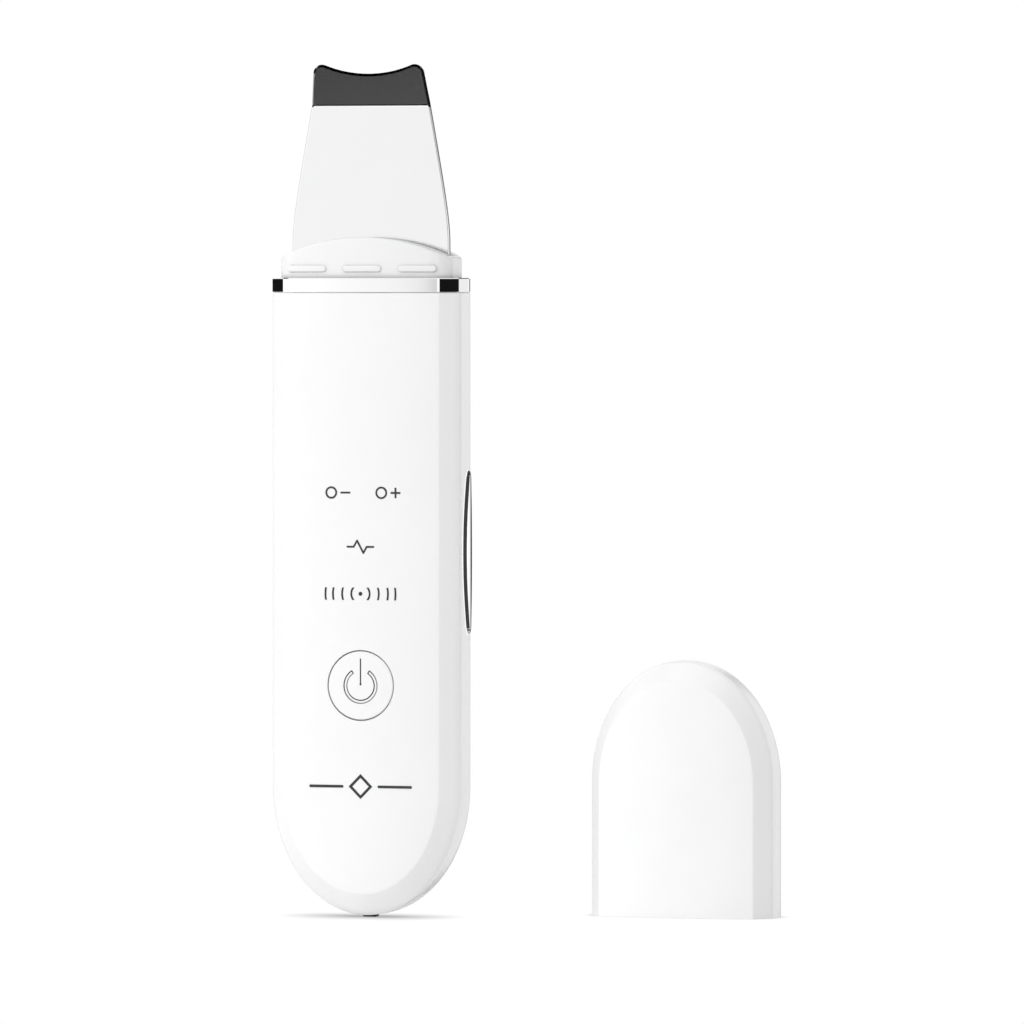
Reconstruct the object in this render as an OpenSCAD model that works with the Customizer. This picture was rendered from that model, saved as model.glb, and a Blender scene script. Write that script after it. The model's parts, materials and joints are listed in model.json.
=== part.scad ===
// Ultrasonic skin scrubber: a slim handle with a stainless spatula, and its push-on cap standing beside it.
// Millimetres. +Z runs up the handle, the control face looks along -Y, +X is to the user's right.
// The origin is the point that the handle stands on, under its lower end.

/* [Handle] */
// Width of the handle
body_w = 44.8; // [40:0.2:50]
// Depth of the handle, from the control face to the back
body_d = 14.6; // [13.6:0.2:17]
// Height of the handle's casing, up to the trim ring
body_top = 141; // [136:0.5:146]
// Height of the rounded lower end
end_rise = 29; // [24:0.5:34]
// Wall thickness of the casing
wall = 1.6; // [1.4:0.1:1.6]
// Width of the bevel around the control face
bevel_w = 3.8; // [3:0.1:4.4]
// Height of that bevel at the lower end
bevel_end = 4.8; // [4:0.1:5.4]
// Depth of the band between the mid plane and the front bevel
band_front = 4.1; // [3.8:0.1:4.4]

/* [Trim ring and neck] */
// Height of the chrome ring
ring_h = 3.4; // [2.5:0.1:4.5]
// Width of the neck that carries the cap
neck_w = 41.2; // [40:0.1:41.4]
// Depth of the neck
neck_d = 12.4; // [12:0.1:12.4]
// Height of the neck above the ring, at the middle of its arched top
neck_h = 9.2; // [8.6:0.1:10]
// Radius of the neck's arched top
arch_r = 47; // [38:1:60]
// Length of each cap rib on the neck
rib_l = 9.2; // [5:0.1:9.4]

/* [Blade] */
// Width of the blade where it leaves the neck
blade_w = 37.8; // [34:0.2:38]
// Thickness of the blade
blade_t = 0.8; // [0.6:0.1:1]
// Height of the bend line above the floor
bend_z = 183.3; // [178:0.1:188]
// Angle of the bent tip, towards the control face
bend_angle = 13; // [5:1:25]
// Length of the bent tip
tip_l = 9.5; // [8:0.1:10]
// Depth of the hollow in the tip's edge
tip_notch = 2.15; // [1:0.05:3]
// Radius of the tip's two rounded horns
horn_r = 2.2; // [1.8:0.1:2.6]

/* [Controls] */
// Diameter of the power button
button_dia = 15.7; // [12:0.1:16]
// Height of the power button's centre
button_z = 52.5; // [48:0.5:56]
// Travel of the power button
button_travel = 0.4; // [0.2:0.05:0.4]
// Gap round the power button
button_gap = 0.2; // [0.1:0.05:0.3]

/* [Side electrodes] */
// Length of each side electrode
electrode_l = 37.5; // [30:0.5:42]
// Height of the electrodes' middle
electrode_z = 82.5; // [78:0.5:84]
// How far an electrode stands out of the casing
electrode_proud = 0.4; // [0.2:0.05:0.6]

/* [Cap] */
// Width of the cap
cap_w = 43.2; // [43.2:0.1:44]
// Height of the cap
cap_h = 57.9; // [56:0.1:62]
// Height of the cap's rounded end
cap_rise = 27.5; // [24:0.5:30]
// Wall thickness of the cap
cap_wall = 1; // [0.8:0.05:1]
// Place of the cap's centre, across
cap_x = 66.7; // [50:0.1:110]
// Place of the cap's centre, towards the back
cap_y = 24.3; // [0:0.1:60]

/* [Hidden] */
$fn = 48;
skin = 0.01;          // thickness of the slices that a rounded casing is stretched over
over = 1;             // how far a cutter runs past what it cuts
slip = 0.1;           // gap between parts that slide together
outline_steps = 40;   // straight steps round a rounded end

half_w = body_w / 2;
half_d = body_d / 2;
tab_proud = 0.5;                       // the plug's pull tab below the casing, which the handle stands on
end_z = tab_proud + end_rise;          // centre of the handle's rounded end
band_rear = 3.2;                       // where the rear corner starts to round
rear_round = 4.6;                      // width of the rear corner
bulge = 0.35;                          // how far the front bevel swells past straight
part_y = 0.4 - band_front;            // the joint between front cover and rear shell
inner_y = half_d - wall;               // inner faces of the casing
ring_top = body_top + ring_h;

neck_band = 2.5;
neck_round = 5;                        // width of the neck's rounded corners
neck_wall = 1.6;
spigot_in = 0.8;                       // the neck's lower part, inside the casing, is this much narrower all round
spigot_wall = 1.1;
spigot_z = body_top - 10;
arch_top = ring_top + neck_h;
arch_t = 2.5;                          // thickness of the arched top
rib_z = ring_top + 2.1;
rib_h = 1.5;
rib_proud = 0.35;
rib_pitch = 13.2;

tongue_w = 7;                          // the blade's root, inside the neck
tongue_z = 128;
shoulder_z = ring_top + 3.1;
seal_gap = 0.05;
seal_grip = 0.65;                      // rubber round the blade at the slot's ends
seal_t = 3;

stack_r = 4.8;                         // radius of the transducer stack
neck_horn_r = 4;                       // radius of the horn's slim end
bolt_r = 1.75;
bolt_bore_r = 1.8;
back_z = 104;
lug_t = 0.2;
piezo_t = 2.5;
back_l = 8;
lug_a_z = back_z + back_l;
piezo_a_z = lug_a_z + lug_t;
lug_b_z = piezo_a_z + piezo_t;
piezo_b_z = lug_b_z + lug_t;
horn_z = piezo_b_z + piezo_t;
horn_step_z = horn_z + 7.6;
horn_top = 146;
horn_flat_z = tongue_z - 0.5;
clamp_t = 1.4;
blade_screw_zs = [131, 136.5];
ring_zs = [back_z + 2, horn_z + 2];    // the two damping rings
ring_l = 3;

board_t = 1;
board_y = -2.6;                        // the board's front face
board_back = board_y + board_t;
board_w = 34;
board_top = 99;
board_screw_at = [[-13, 26], [13, 26], [-13, 66], [13, 66]];
boss_r = 2;
led_t = 0.7;
led_at = [[-5.5, 96], [5.5, 96], [0, 83.8], [0, 73.2]];
switch_w = 5.2;
switch_t = 0.9;
plunger_r = 1;
plunger_top = board_y - switch_t - 0.6;
button_t = 1.2;
flange_r = button_dia / 2 + 1.2;
flange_t = 0.8;
icon_deep = 0.25;
icon_r = 3.95;
icon_ring = 0.7;
icon_bar_l = 6.1;
icon_bar_w = 0.4;
icon_gap = 32;                         // half the icon's open angle, in degrees

ink = 0.06;                            // thickness of the printed marks
stroke = 0.42;
mark_h = 2.8;

battery_size = [26, 4.6, 48];
battery_z = 25;
battery_y = inner_y - 0.5 - battery_size[1];

electrode_y = 1.5;                     // the electrode's middle, towards the back
electrode_half = 3.4;                  // half its width, over the band and into the rear corner
electrode_deep = 0.5;
stud_r = 0.9;
stud_in = half_w - 2.65;
spring_t = 0.2;

port_size = [7.5, 2.5, 5.5];
port_y = board_back + port_size[1] / 2;
port_z = 1.9;
port_shell = 0.3;
mouth = [8.8, 3.6];

cap_band = 2.5;
cap_bevel = 3.3;
cap_bevel_end = 4.3;
cap_centre_z = cap_h - cap_rise;

// ---- Casing shapes ----

// Slices through a casing: [y, inset at the sides, inset at the rounded end].
// The front bevel meets the control face in a crease, and the rear corner is rounded.
function casing_slices(d, front, rear, bevel, bevel_z, round, round_z) = [
    [-d, bevel, bevel_z],
    [-(d + front) / 2 - bulge / 2, (bevel - bulge) / 2, (bevel_z - bulge) / 2],
    [-front, 0, 0],
    [rear, 0, 0],
    for (t = [30, 60, 90]) [rear + (d - rear) * sin(t), round * (1 - cos(t)), round_z * (1 - cos(t))]
];

// The same for a shape whose corners are rounded alike, front and back
function rounded_slices(d, band, round, round_z = 0) = concat(
    [for (t = [90, 68, 45, 22]) [-band - (d - band) * sin(t), round * (1 - cos(t)), round_z * (1 - cos(t))]],
    [[-band, 0, 0], [band, 0, 0]],
    [for (t = [22, 45, 68, 90]) [band + (d - band) * sin(t), round * (1 - cos(t)), round_z * (1 - cos(t))]]
);

handle_slices = casing_slices(half_d, band_front, band_rear, bevel_w, bevel_end, rear_round, rear_round + 1);
neck_slices = rounded_slices(neck_d / 2, neck_band, neck_round);
cap_slices = casing_slices(half_d, cap_band, cap_band, cap_bevel, cap_bevel_end, cap_bevel + 0.5, cap_bevel_end + 0.5);
hollow_slices = rounded_slices(neck_d / 2 + slip, neck_band, neck_round, neck_round + 0.5);

// A straight-sided outline that ends in half an ellipse, seen from the front, with the ellipse's centre at the origin
function outline_points(w, rise, top) = concat(
    [[w, top]],
    [for (i = [0:outline_steps]) [w * cos(180 * i / outline_steps), -rise * sin(180 * i / outline_steps)]],
    [[-w, top]]
);

module outline(w, rise, top) {
    polygon(outline_points(w, rise, top));
}

// The casing skinned over its slices. inset shrinks it on every side, and a negative inset grows it.
module pebble(slices, w, d, rise, top, inset = 0) {
    k = (d - inset) / d;
    n = outline_steps + 3;
    last = len(slices) - 1;
    points = [
        for (s = slices)
            for (p = outline_points(w - s[1] - inset, rise - s[2] - inset, top))
                [p[0], s[0] * k, p[1]]
    ];
    sides = [
        for (i = [0:last - 1])
            for (j = [0:n - 1])
                let (a = i * n + j, b = i * n + (j + 1) % n)
                    for (f = [[a, a + n, b + n], [a, b + n, b]]) f
    ];
    ends = [[for (j = [0:n - 1]) j], [for (j = [n - 1:-1:0]) last * n + j]];
    polyhedron(points, concat(sides, ends), convexity = 4);
}

// The handle's casing as one solid. It runs up to top.
module handle_form(inset = 0, top = body_top) {
    translate([0, 0, end_z])
        pebble(handle_slices, half_w, half_d, end_rise, top - end_z, inset);
}

// A casing's cross-section, seen from above
module section(slices, w, d, inset = 0) {
    k = (d - inset) / d;
    right = [for (s = slices) [w - s[1] - inset, s[0] * k]];
    left = [for (i = [len(right) - 1:-1:0]) [-right[i][0], right[i][1]]];
    polygon(concat(right, left));
}

// ---- Small shapes ----

// A cylinder along +Y, from y0 to y1
module y_cylinder(r, y0, y1) {
    translate([0, y1, 0]) rotate([90, 0, 0]) cylinder(r = r, h = y1 - y0);
}

// A flat shape drawn in x and z, standing between y0 and y1
module y_extrude(y0, y1) {
    translate([0, y1, 0]) rotate([90, 0, 0]) linear_extrude(y1 - y0) children();
}

// A box from one corner to the other
module block(low, high) {
    translate(low) cube(high - low);
}

// A straight stroke with round ends, in the plane
module line(from, to, w = stroke) {
    d = to - from;
    translate(from) rotate(atan2(d[1], d[0])) translate([0, -w / 2]) square([norm(d), w]);
    for (p = [from, to]) translate(p) circle(d = w * 1.02);
}

// A ring with an open angle of 2 * gap about the direction at
module arc(r, w, at = 90, gap = 0) {
    difference() {
        circle(r = r + w / 2);
        circle(r = r - w / 2);
        if (gap > 0)
            polygon([[0, 0], for (t = [-1, 0, 1]) 3 * r * [cos(at + t * gap), sin(at + t * gap)]]);
    }
}

// A round wire along a path, with a slightly larger ball at each bend
module wire(path, r) {
    for (i = [0:len(path) - 2]) {
        d = path[i + 1] - path[i];
        translate(path[i])
            rotate([0, acos(d[2] / norm(d)), atan2(d[1], d[0])])
                cylinder(r = r, h = norm(d));
    }
    for (i = [1:len(path) - 2]) translate(path[i]) sphere(r = r * 1.2);
}

// A pan-head screw along +Y whose head sits on the face at y = 0
module screw(r, l, head_r, head_t) {
    difference() {
        union() {
            y_cylinder(head_r, -head_t, 0);
            y_cylinder(r, -skin, l);
        }
        for (turn = [0, 90])
            rotate([0, turn, 0])
                block([-head_r * 0.6, -head_t - over, -0.15], [head_r * 0.6, -head_t / 2, 0.15]);
    }
}

// ---- Casing ----

module front_cover() {
    color("white") {
        difference() {
            handle_form();
            handle_form(wall, body_top + over);
            block([-half_w - over, part_y, -over], [half_w + over, half_d + over, body_top + over]);
            translate([0, 0, button_z]) y_cylinder(button_dia / 2 + button_gap, -half_d - over, 0);
        }
        board_bosses();
        snap_tabs();
    }
}

module board_bosses() {
    for (at = board_screw_at)
        translate([at[0], 0, at[1]])
            difference() {
                y_cylinder(boss_r, -inner_y - 0.3, board_y);
                y_cylinder(0.8, -inner_y + 0.4, over);
            }
}

// Tabs on the cover that spring into the rear shell
module snap_tabs() {
    for (side = [-1, 1])
        for (z = [40, 120])
            translate([side * (half_w - wall - 1.3), -inner_y + 1.9, z])
                cube([1, 3.8, 6], center = true);
}

// The lens that outlines an electrode, as a cutter along X, on one side
module electrode_lens(side, grow = 0) {
    r = (pow(electrode_l / 2, 2) + pow(electrode_half, 2)) / (2 * electrode_half);
    reach = r - electrode_half;
    translate([side * half_w, electrode_y, electrode_z])
        rotate([0, 90, 0])
            intersection() {
                translate([0, -reach, 0]) cylinder(r = r + grow, h = 6, center = true, $fn = 240);
                translate([0, reach, 0]) cylinder(r = r + grow, h = 6, center = true, $fn = 240);
            }
}

module rear_shell() {
    color("white") {
        difference() {
            handle_form();
            handle_form(wall, body_top + over);
            block([-half_w - over, -half_d - over, -over], [half_w + over, part_y, body_top + over]);
            difference() {
                for (side = [-1, 1]) electrode_lens(side, 0.08);
                handle_form(electrode_deep, body_top + over);
            }
            for (side = [-1, 1])
                translate([side * (half_w - 3), electrode_y, electrode_z])
                    rotate([0, 90 * side, 0]) cylinder(r = stud_r + 0.1, h = 5);
            translate([0, port_y, -over])
                linear_extrude(port_z + 3) port_outline(mouth[0], mouth[1]);
            gasket_path(part_y - over, part_y + 0.65, 0.05);
        }
        saddle_ribs();
    }
}

// Ribs that cradle the transducer's damping rings
module saddle_ribs() {
    rib_t = 1.2;
    for (z = ring_zs)
        difference() {
            block([-12, 1.2, z + ring_l / 2 - rib_t / 2], [12, inner_y + 0.3, z + ring_l / 2 + rib_t / 2]);
            translate([0, 0, z - over]) cylinder(r = inner_y - 0.05, h = ring_l + 2 * over);
        }
}

// A U-shaped cord round the rim between the two shells
module gasket_path(y0, y1, grow = 0) {
    translate([0, 0, end_z])
        y_extrude(y0, y1)
            difference() {
                outline(half_w - 0.5 + grow, end_rise - 0.5 + grow, 104);
                outline(half_w - 1.1 - grow, end_rise - 1.1 - grow, 104 + over);
            }
}

module housing_gasket() {
    color("gainsboro") gasket_path(part_y, part_y + 0.6);
}

module trim_ring() {
    color("silver")
        translate([0, 0, body_top])
            difference() {
                linear_extrude(ring_h) section(handle_slices, half_w, half_d);
                translate([0, 0, -over])
                    linear_extrude(ring_h + 2 * over) section(neck_slices, neck_w / 2, neck_d / 2, -slip);
            }
}

// ---- Neck and blade ----

// Everything under the neck's arched top, lowered by drop
module under_arch(drop = 0) {
    translate([0, 0, arch_top - arch_r - drop])
        y_cylinder(arch_r, -half_d - over, half_d + over);
}

module neck_collar() {
    color("white") {
        difference() {
            intersection() {
                union() {
                    translate([0, 0, body_top])
                        linear_extrude(ring_h + neck_h) section(neck_slices, neck_w / 2, neck_d / 2);
                    translate([0, 0, spigot_z])
                        linear_extrude(body_top - spigot_z + 1)
                            section(neck_slices, neck_w / 2, neck_d / 2, spigot_in);
                }
                under_arch();
            }
            intersection() {
                translate([0, 0, body_top])
                    linear_extrude(ring_h + neck_h)
                        section(neck_slices, neck_w / 2, neck_d / 2, neck_wall);
                under_arch(arch_t);
            }
            translate([0, 0, spigot_z - over])
                linear_extrude(body_top - spigot_z + 2 * over)
                    section(neck_slices, neck_w / 2, neck_d / 2, spigot_in + spigot_wall);
            blade_slot(blade_w / 2 + seal_grip, seal_t / 2, ring_top - 3, arch_top + over);
        }
        cap_ribs();
    }
}

// A slot through the neck's top, as a cutter
module blade_slot(w, d, z0, z1) {
    block([-w, -d, z0], [w, d, z1]);
}

// Raised ribs that the cap snaps over, front and back
module cap_ribs(grow = 0) {
    out = neck_d / 2 + rib_proud + grow;
    for (turn = [0, 180])
        rotate(turn)
            for (i = [-1:1])
                translate([i * rib_pitch, 0, rib_z])
                    y_extrude(-out, -out + 1.4) {
                        square([rib_l - rib_h + 2 * grow, rib_h + 2 * grow], center = true);
                        for (end = [-1, 1])
                            translate([end * (rib_l - rib_h) / 2, 0]) circle(d = rib_h + 2 * grow);
                    }
}

module blade_seal() {
    color("whitesmoke")
        difference() {
            intersection() {
                blade_slot(blade_w / 2 + seal_grip - 0.03, seal_t / 2 - 0.03, ring_top - 3, arch_top);
                under_arch();
            }
            under_arch(arch_t);
            blade_slot(blade_w / 2 + seal_gap, blade_t / 2 + seal_gap, ring_top - 4, arch_top + over);
        }
}

// Half the blade's width at height z: straight in the neck, then a taper that eases in
function blade_half(z) =
    let (taper = 0.19, ease = 7.5, u = max(0, z - arch_top + 1.6))
    blade_w / 2 - taper * (sqrt(u * u + ease * ease) - ease);

// The blade's flat part, seen from the front
module blade_flat() {
    steps = 20;
    zs = [for (i = [0:steps]) shoulder_z + (bend_z - shoulder_z) * i / steps];
    right = [for (z = zs) [blade_half(z), z]];
    left = [for (i = [steps:-1:0]) [-blade_half(zs[i]), zs[i]]];
    root = [[-tongue_w / 2, 140], [-tongue_w / 2, tongue_z], [tongue_w / 2, tongue_z], [tongue_w / 2, 140]];
    polygon(concat(right, left, root));
}

// The bent tip, seen square on, rising from the bend line at z = 0
module blade_tip() {
    foot = blade_half(bend_z);
    side = foot - 0.9;
    horn_x = side - horn_r;
    rise = horn_r - tip_notch;
    hollow_r = (horn_x * horn_x + rise * rise - horn_r * horn_r) / (2 * tip_notch);
    meet = horn_r / (horn_r + hollow_r);
    meet_x = horn_x * (1 - meet);
    meet_z = tip_l - horn_r + (hollow_r + rise) * meet;
    difference() {
        polygon([
            [-foot, 0], [foot, 0], [side, tip_l - horn_r], [meet_x, meet_z],
            [-meet_x, meet_z], [-side, tip_l - horn_r]
        ]);
        translate([0, tip_l - tip_notch + hollow_r]) circle(r = hollow_r, $fn = 160);
    }
    for (end = [-1, 1]) translate([end * horn_x, tip_l - horn_r]) circle(r = horn_r);
}

module spatula_blade() {
    color("lightgray")
        difference() {
            union() {
                y_extrude(-blade_t / 2, blade_t / 2) blade_flat();
                translate([0, 0, bend_z - skin])
                    rotate([bend_angle, 0, 0])
                        y_extrude(-blade_t / 2, blade_t / 2) blade_tip();
            }
            for (z = blade_screw_zs) translate([0, 0, z]) y_cylinder(1.1, -over, over);
        }
}

module blade_clamp() {
    color("silver")
        difference() {
            block([-3.4, -blade_t / 2 - clamp_t, tongue_z], [3.4, -blade_t / 2, tongue_z + 11.5]);
            for (z = blade_screw_zs) translate([0, 0, z]) y_cylinder(1.1, -half_d, 0);
        }
}

module blade_screws() {
    color("dimgray")
        for (z = blade_screw_zs)
            translate([0, -blade_t / 2 - clamp_t, z]) screw(0.95, 4.2, 1.7, 1.1);
}

// ---- Transducer ----

module transducer_horn() {
    color("lightsteelblue")
        difference() {
            union() {
                translate([0, 0, horn_z]) cylinder(r = stack_r, h = horn_step_z - horn_z);
                translate([0, 0, horn_step_z - skin]) cylinder(r = neck_horn_r, h = horn_top - horn_step_z);
            }
            block([-half_d, -half_d, horn_flat_z], [half_d, blade_t / 2, horn_top + over]);
            translate([0, 0, horn_z - over]) cylinder(r = bolt_bore_r, h = over + 7);
            for (z = blade_screw_zs) translate([0, 0, z]) y_cylinder(1, 0, 2.9);
        }
}

module piezo_rings() {
    color("tan")
        for (z = [piezo_a_z, piezo_b_z])
            translate([0, 0, z])
                difference() {
                    cylinder(r = stack_r - 0.2, h = piezo_t);
                    translate([0, 0, -over]) cylinder(r = 2.1, h = piezo_t + 2 * over);
                }
}

module contact_lugs() {
    color("goldenrod")
        for (lug = [[lug_a_z, 1], [lug_b_z, -1]])
            translate([0, 0, lug[0]])
                difference() {
                    union() {
                        cylinder(r = stack_r - 0.3, h = lug_t);
                        block([min(0, lug[1] * 8), -1, 0], [max(0, lug[1] * 8), 1, lug_t]);
                    }
                    translate([0, 0, -over]) cylinder(r = 2.1, h = lug_t + 2 * over);
                }
}

module back_mass() {
    color("slategray")
        translate([0, 0, back_z])
            difference() {
                cylinder(r = stack_r, h = back_l);
                translate([0, 0, -over]) cylinder(r = bolt_bore_r, h = back_l + 2 * over);
            }
}

module transducer_bolt() {
    head_l = 3;
    color("dimgray")
        translate([0, 0, back_z])
            difference() {
                union() {
                    translate([0, 0, -head_l]) cylinder(r = 3, h = head_l);
                    translate([0, 0, -skin]) cylinder(r = bolt_r, h = horn_z - back_z + 6);
                }
                translate([0, 0, -head_l - over]) cylinder(r = 1.45, h = over + 1.8, $fn = 6);
            }
}

module damping_rings() {
    color("darkgray")
        for (z = ring_zs)
            translate([0, 0, z])
                difference() {
                    cylinder(r = inner_y - 0.1, h = ring_l);
                    translate([0, 0, -over]) cylinder(r = stack_r + 0.02, h = ring_l + 2 * over);
                }
}

module transducer_leads() {
    color("firebrick")
        for (lead = [[1, lug_a_z], [-1, lug_b_z]])
            wire([
                [lead[0] * 7, 0.4, lead[1] - 0.05],
                [lead[0] * 7, 0.4, board_top + 1.6],
                [lead[0] * 9, -1.1, board_top - 3.5],
                [lead[0] * 9, -1.1, board_top - 6]
            ], 0.4);
}

// ---- Power button and its switch ----

// The power symbol, an open ring and a bar
module power_symbol(grow = 0) {
    arc(icon_r - icon_ring / 2, icon_ring + grow, 90, icon_gap);
    translate([-icon_bar_w / 2 - grow / 2, 0]) square([icon_bar_w + grow, icon_bar_l]);
}

module power_button() {
    post_end = plunger_top - 0.02;
    color("white")
        translate([0, 0, button_z])
            difference() {
                union() {
                    y_cylinder(button_dia / 2, -half_d, -inner_y + 0.05);
                    y_cylinder(flange_r, -inner_y + 0.03, -inner_y + 0.03 + flange_t);
                    y_cylinder(1.5, -inner_y, post_end);
                }
                y_extrude(-half_d - over, -half_d + icon_deep) power_symbol();
            }
}

module button_icon() {
    color("lightgray")
        translate([0, 0, button_z])
            y_extrude(-half_d + 0.03, -half_d + icon_deep) power_symbol();
}

module switch_body() {
    color("dimgray")
        translate([0, 0, button_z])
            difference() {
                block([-switch_w / 2, board_y - switch_t, -switch_w / 2], [switch_w / 2, board_y, switch_w / 2]);
                y_cylinder(plunger_r + 0.05, board_y - switch_t - over, board_y - 0.1);
            }
}

module switch_plunger() {
    color("black")
        translate([0, 0, button_z])
            y_cylinder(plunger_r, plunger_top, board_y - 0.1 - button_travel - 0.05);
}

// ---- Marks, light guide and lamps ----

// A small ring followed by a minus or a plus sign
module ion_mark(plus) {
    arc(mark_h / 2 - stroke / 2, stroke);
    translate([3.4, 0]) {
        line([-1, 0], [1, 0]);
        if (plus) {
            line([0, 0.3], [0, 1]);
            line([0, -1], [0, -0.3]);
        }
    }
}

// A pulse trace
module pulse_mark() {
    path = [[-3.1, 0], [-1.6, 0], [-0.8, 1.4], [0.7, -1.4], [1.5, 0], [3.1, 0]];
    for (i = [0:len(path) - 2]) line(path[i], path[i + 1]);
}

// A dot with waves spreading from it to each side
module wave_mark() {
    circle(r = 0.45);
    for (side = [0, 180])
        for (r = [2.2, 4.4, 6.6, 8.4])
            rotate(side)
                intersection() {
                    arc(r, stroke);
                    translate([0, -mark_h / 2]) square([10, mark_h]);
                }
}

module mode_marks() {
    color("black")
        y_extrude(-half_d - ink, -half_d) {
            translate([-7, 96]) ion_mark(false);
            translate([5, 96]) ion_mark(true);
            translate([0, 83.8]) pulse_mark();
            translate([0, 73.2]) wave_mark();
        }
}

// A plain ornament in place of a name: a thin rule broken by an open diamond
module front_mark() {
    color("black")
        y_extrude(-half_d - ink, -half_d)
            translate([0, 29.7]) {
                for (side = [-1, 1]) line([side * 4.4, 0], [side * 12, 0], 0.6);
                difference() {
                    rotate(45) square(4, center = true);
                    rotate(45) square(2.8, center = true);
                }
            }
}

module light_guide() {
    color("aliceblue") {
        block([-10, -inner_y + 0.05, 70], [10, -inner_y + 1.2, 98.5]);
        for (at = led_at)
            translate([at[0], 0, at[1]]) y_cylinder(1.4, -inner_y + 1, board_y - led_t - 0.1);
    }
}

module mode_leds() {
    color("lightyellow")
        for (at = led_at)
            translate([at[0], board_y - led_t / 2, at[1]]) cube([1.6, led_t, 0.8], center = true);
}

// ---- Board and battery ----

module main_board() {
    color("darkgreen")
        difference() {
            y_extrude(board_y, board_back)
                polygon([
                    [-5, 3.5], [5, 3.5], [9.5, 8], [board_w / 2, 22], [board_w / 2, board_top],
                    [-board_w / 2, board_top], [-board_w / 2, 22], [-9.5, 8]
                ]);
            for (at = board_screw_at) translate([at[0], 0, at[1]]) y_cylinder(1.1, -half_d, half_d);
        }
}

module board_screws() {
    color("silver")
        for (at = board_screw_at)
            translate([at[0], board_back, at[1]]) rotate([0, 0, 180]) screw(0.75, 3, 1.6, 0.9);
}

module board_chips() {
    color("black")
        for (chip = [[-7, 80, 6, 6, 1], [7, 79.5, 5, 4, 1.2], [-13.5, 93, 4, 3, 1.3], [-5, 15, 4, 5, 1], [6.5, 15.5, 3, 3, 1]])
            translate([chip[0] - chip[2] / 2, board_back, chip[1] - chip[3] / 2])
                cube([chip[2], chip[4], chip[3]]);
}

module driver_transformer() {
    color("peru")
        translate([3.5, board_back, 89.5]) {
            translate([-4.5, 0, -4.5]) cube([9, 1, 9]);
            y_cylinder(3, 0.9, 4);
            y_cylinder(4.2, 3.9, 4.9);
        }
}

module battery() {
    s = battery_size;
    r = s[1] / 2;
    color("lightsteelblue")
        translate([0, battery_y + r, battery_z]) {
            translate([-s[0] / 2 + r, -r, 0]) cube([s[0] - 2 * r, s[1], s[2]]);
            for (side = [-1, 1]) translate([side * (s[0] / 2 - r), 0, 0]) cylinder(r = r * 0.999, h = s[2]);
            translate([-s[0] / 2 + 2 * r, -r / 2, s[2] - skin]) cube([s[0] - 4 * r, r, 2]);
        }
}

module battery_pad() {
    color("gray")
        block([-9, inner_y - 0.5, battery_z + 3], [9, inner_y - skin, battery_z + battery_size[2] - 3]);
}

module battery_leads() {
    top = battery_z + battery_size[2] + 2;
    color("firebrick")
        for (side = [-1, 1])
            wire([
                [side * 3, battery_y + 2.3, top],
                [side * 3, battery_y + 2.3, top + 1.6],
                [side * 2.4, -1.1, top + 1.6]
            ], 0.45);
}

// ---- Side electrodes ----

module electrode(side) {
    color("silver") {
        difference() {
            intersection() {
                handle_form(-electrode_proud, body_top);
                electrode_lens(side);
            }
            handle_form(electrode_deep, body_top + over);
        }
        translate([side * stud_in, electrode_y, electrode_z])
            rotate([0, 90 * side, 0]) cylinder(r = stud_r, h = half_w - electrode_deep - stud_in + 0.3);
    }
}

module electrode_springs() {
    leaf_x = stud_in - spring_t - 0.02;
    color("goldenrod")
        for (side = [0, 1])
            mirror([side, 0, 0]) {
                block([13, board_back, electrode_z - 1.5], [leaf_x + spring_t, board_back + spring_t, electrode_z + 1.5]);
                block([leaf_x, board_back, electrode_z - 1.5], [leaf_x + spring_t, electrode_y + 1, electrode_z + 1.5]);
            }
}

// ---- Charging port ----

// A slot outline with round ends, centred
module port_outline(w, d) {
    square([w - d, d], center = true);
    for (side = [-1, 1]) translate([side * (w - d) / 2, 0]) circle(d = d);
}

module charging_port() {
    color("silver")
        translate([0, port_y, port_z])
            difference() {
                translate([0, 0, port_size[2] / 2]) cube(port_size, center = true);
                translate([0, 0, -over])
                    linear_extrude(port_size[2] + over - 0.5)
                        square([port_size[0] - 2 * port_shell, port_size[1] - 2 * port_shell], center = true);
            }
}

module port_tongue() {
    color("black")
        translate([0, port_y, port_z])
            translate([-2.6, -0.35, 1.8]) cube([5.2, 0.6, port_size[2] - 0.5 - 1.8]);
}

module port_plug() {
    head_z = tab_proud + 0.6;
    color("black")
        translate([0, port_y, 0]) {
            translate([0, 0, head_z])
                linear_extrude(port_z - head_z - 0.05) port_outline(mouth[0] - 0.2, mouth[1] - 0.2);
            translate([0, 0, port_z - 0.2])
                linear_extrude(1.7) square([port_size[0] - 2 * port_shell - 0.2, 1.7], center = true);
            translate([-1.7, -1.3, 0]) cube([3.4, 2.6, head_z + skin]);
        }
}

// ---- Cap ----

// The cap's outside, with the open end at z = 0
module cap_form() {
    translate([0, 0, cap_centre_z])
        rotate([0, 180, 0])
            pebble(cap_slices, cap_w / 2, half_d, cap_rise, cap_centre_z);
}

// The cap's hollow, which fits round the neck
module cap_hollow() {
    translate([0, 0, cap_centre_z])
        rotate([0, 180, 0])
            pebble(hollow_slices, neck_w / 2 + slip, neck_d / 2 + slip, cap_rise - cap_wall, cap_centre_z + over);
}

module cap() {
    color("white")
        translate([cap_x, cap_y, 0])
            difference() {
                cap_form();
                cap_hollow();
                translate([0, 0, -ring_top]) cap_ribs(0.1);
            }
}

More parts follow.
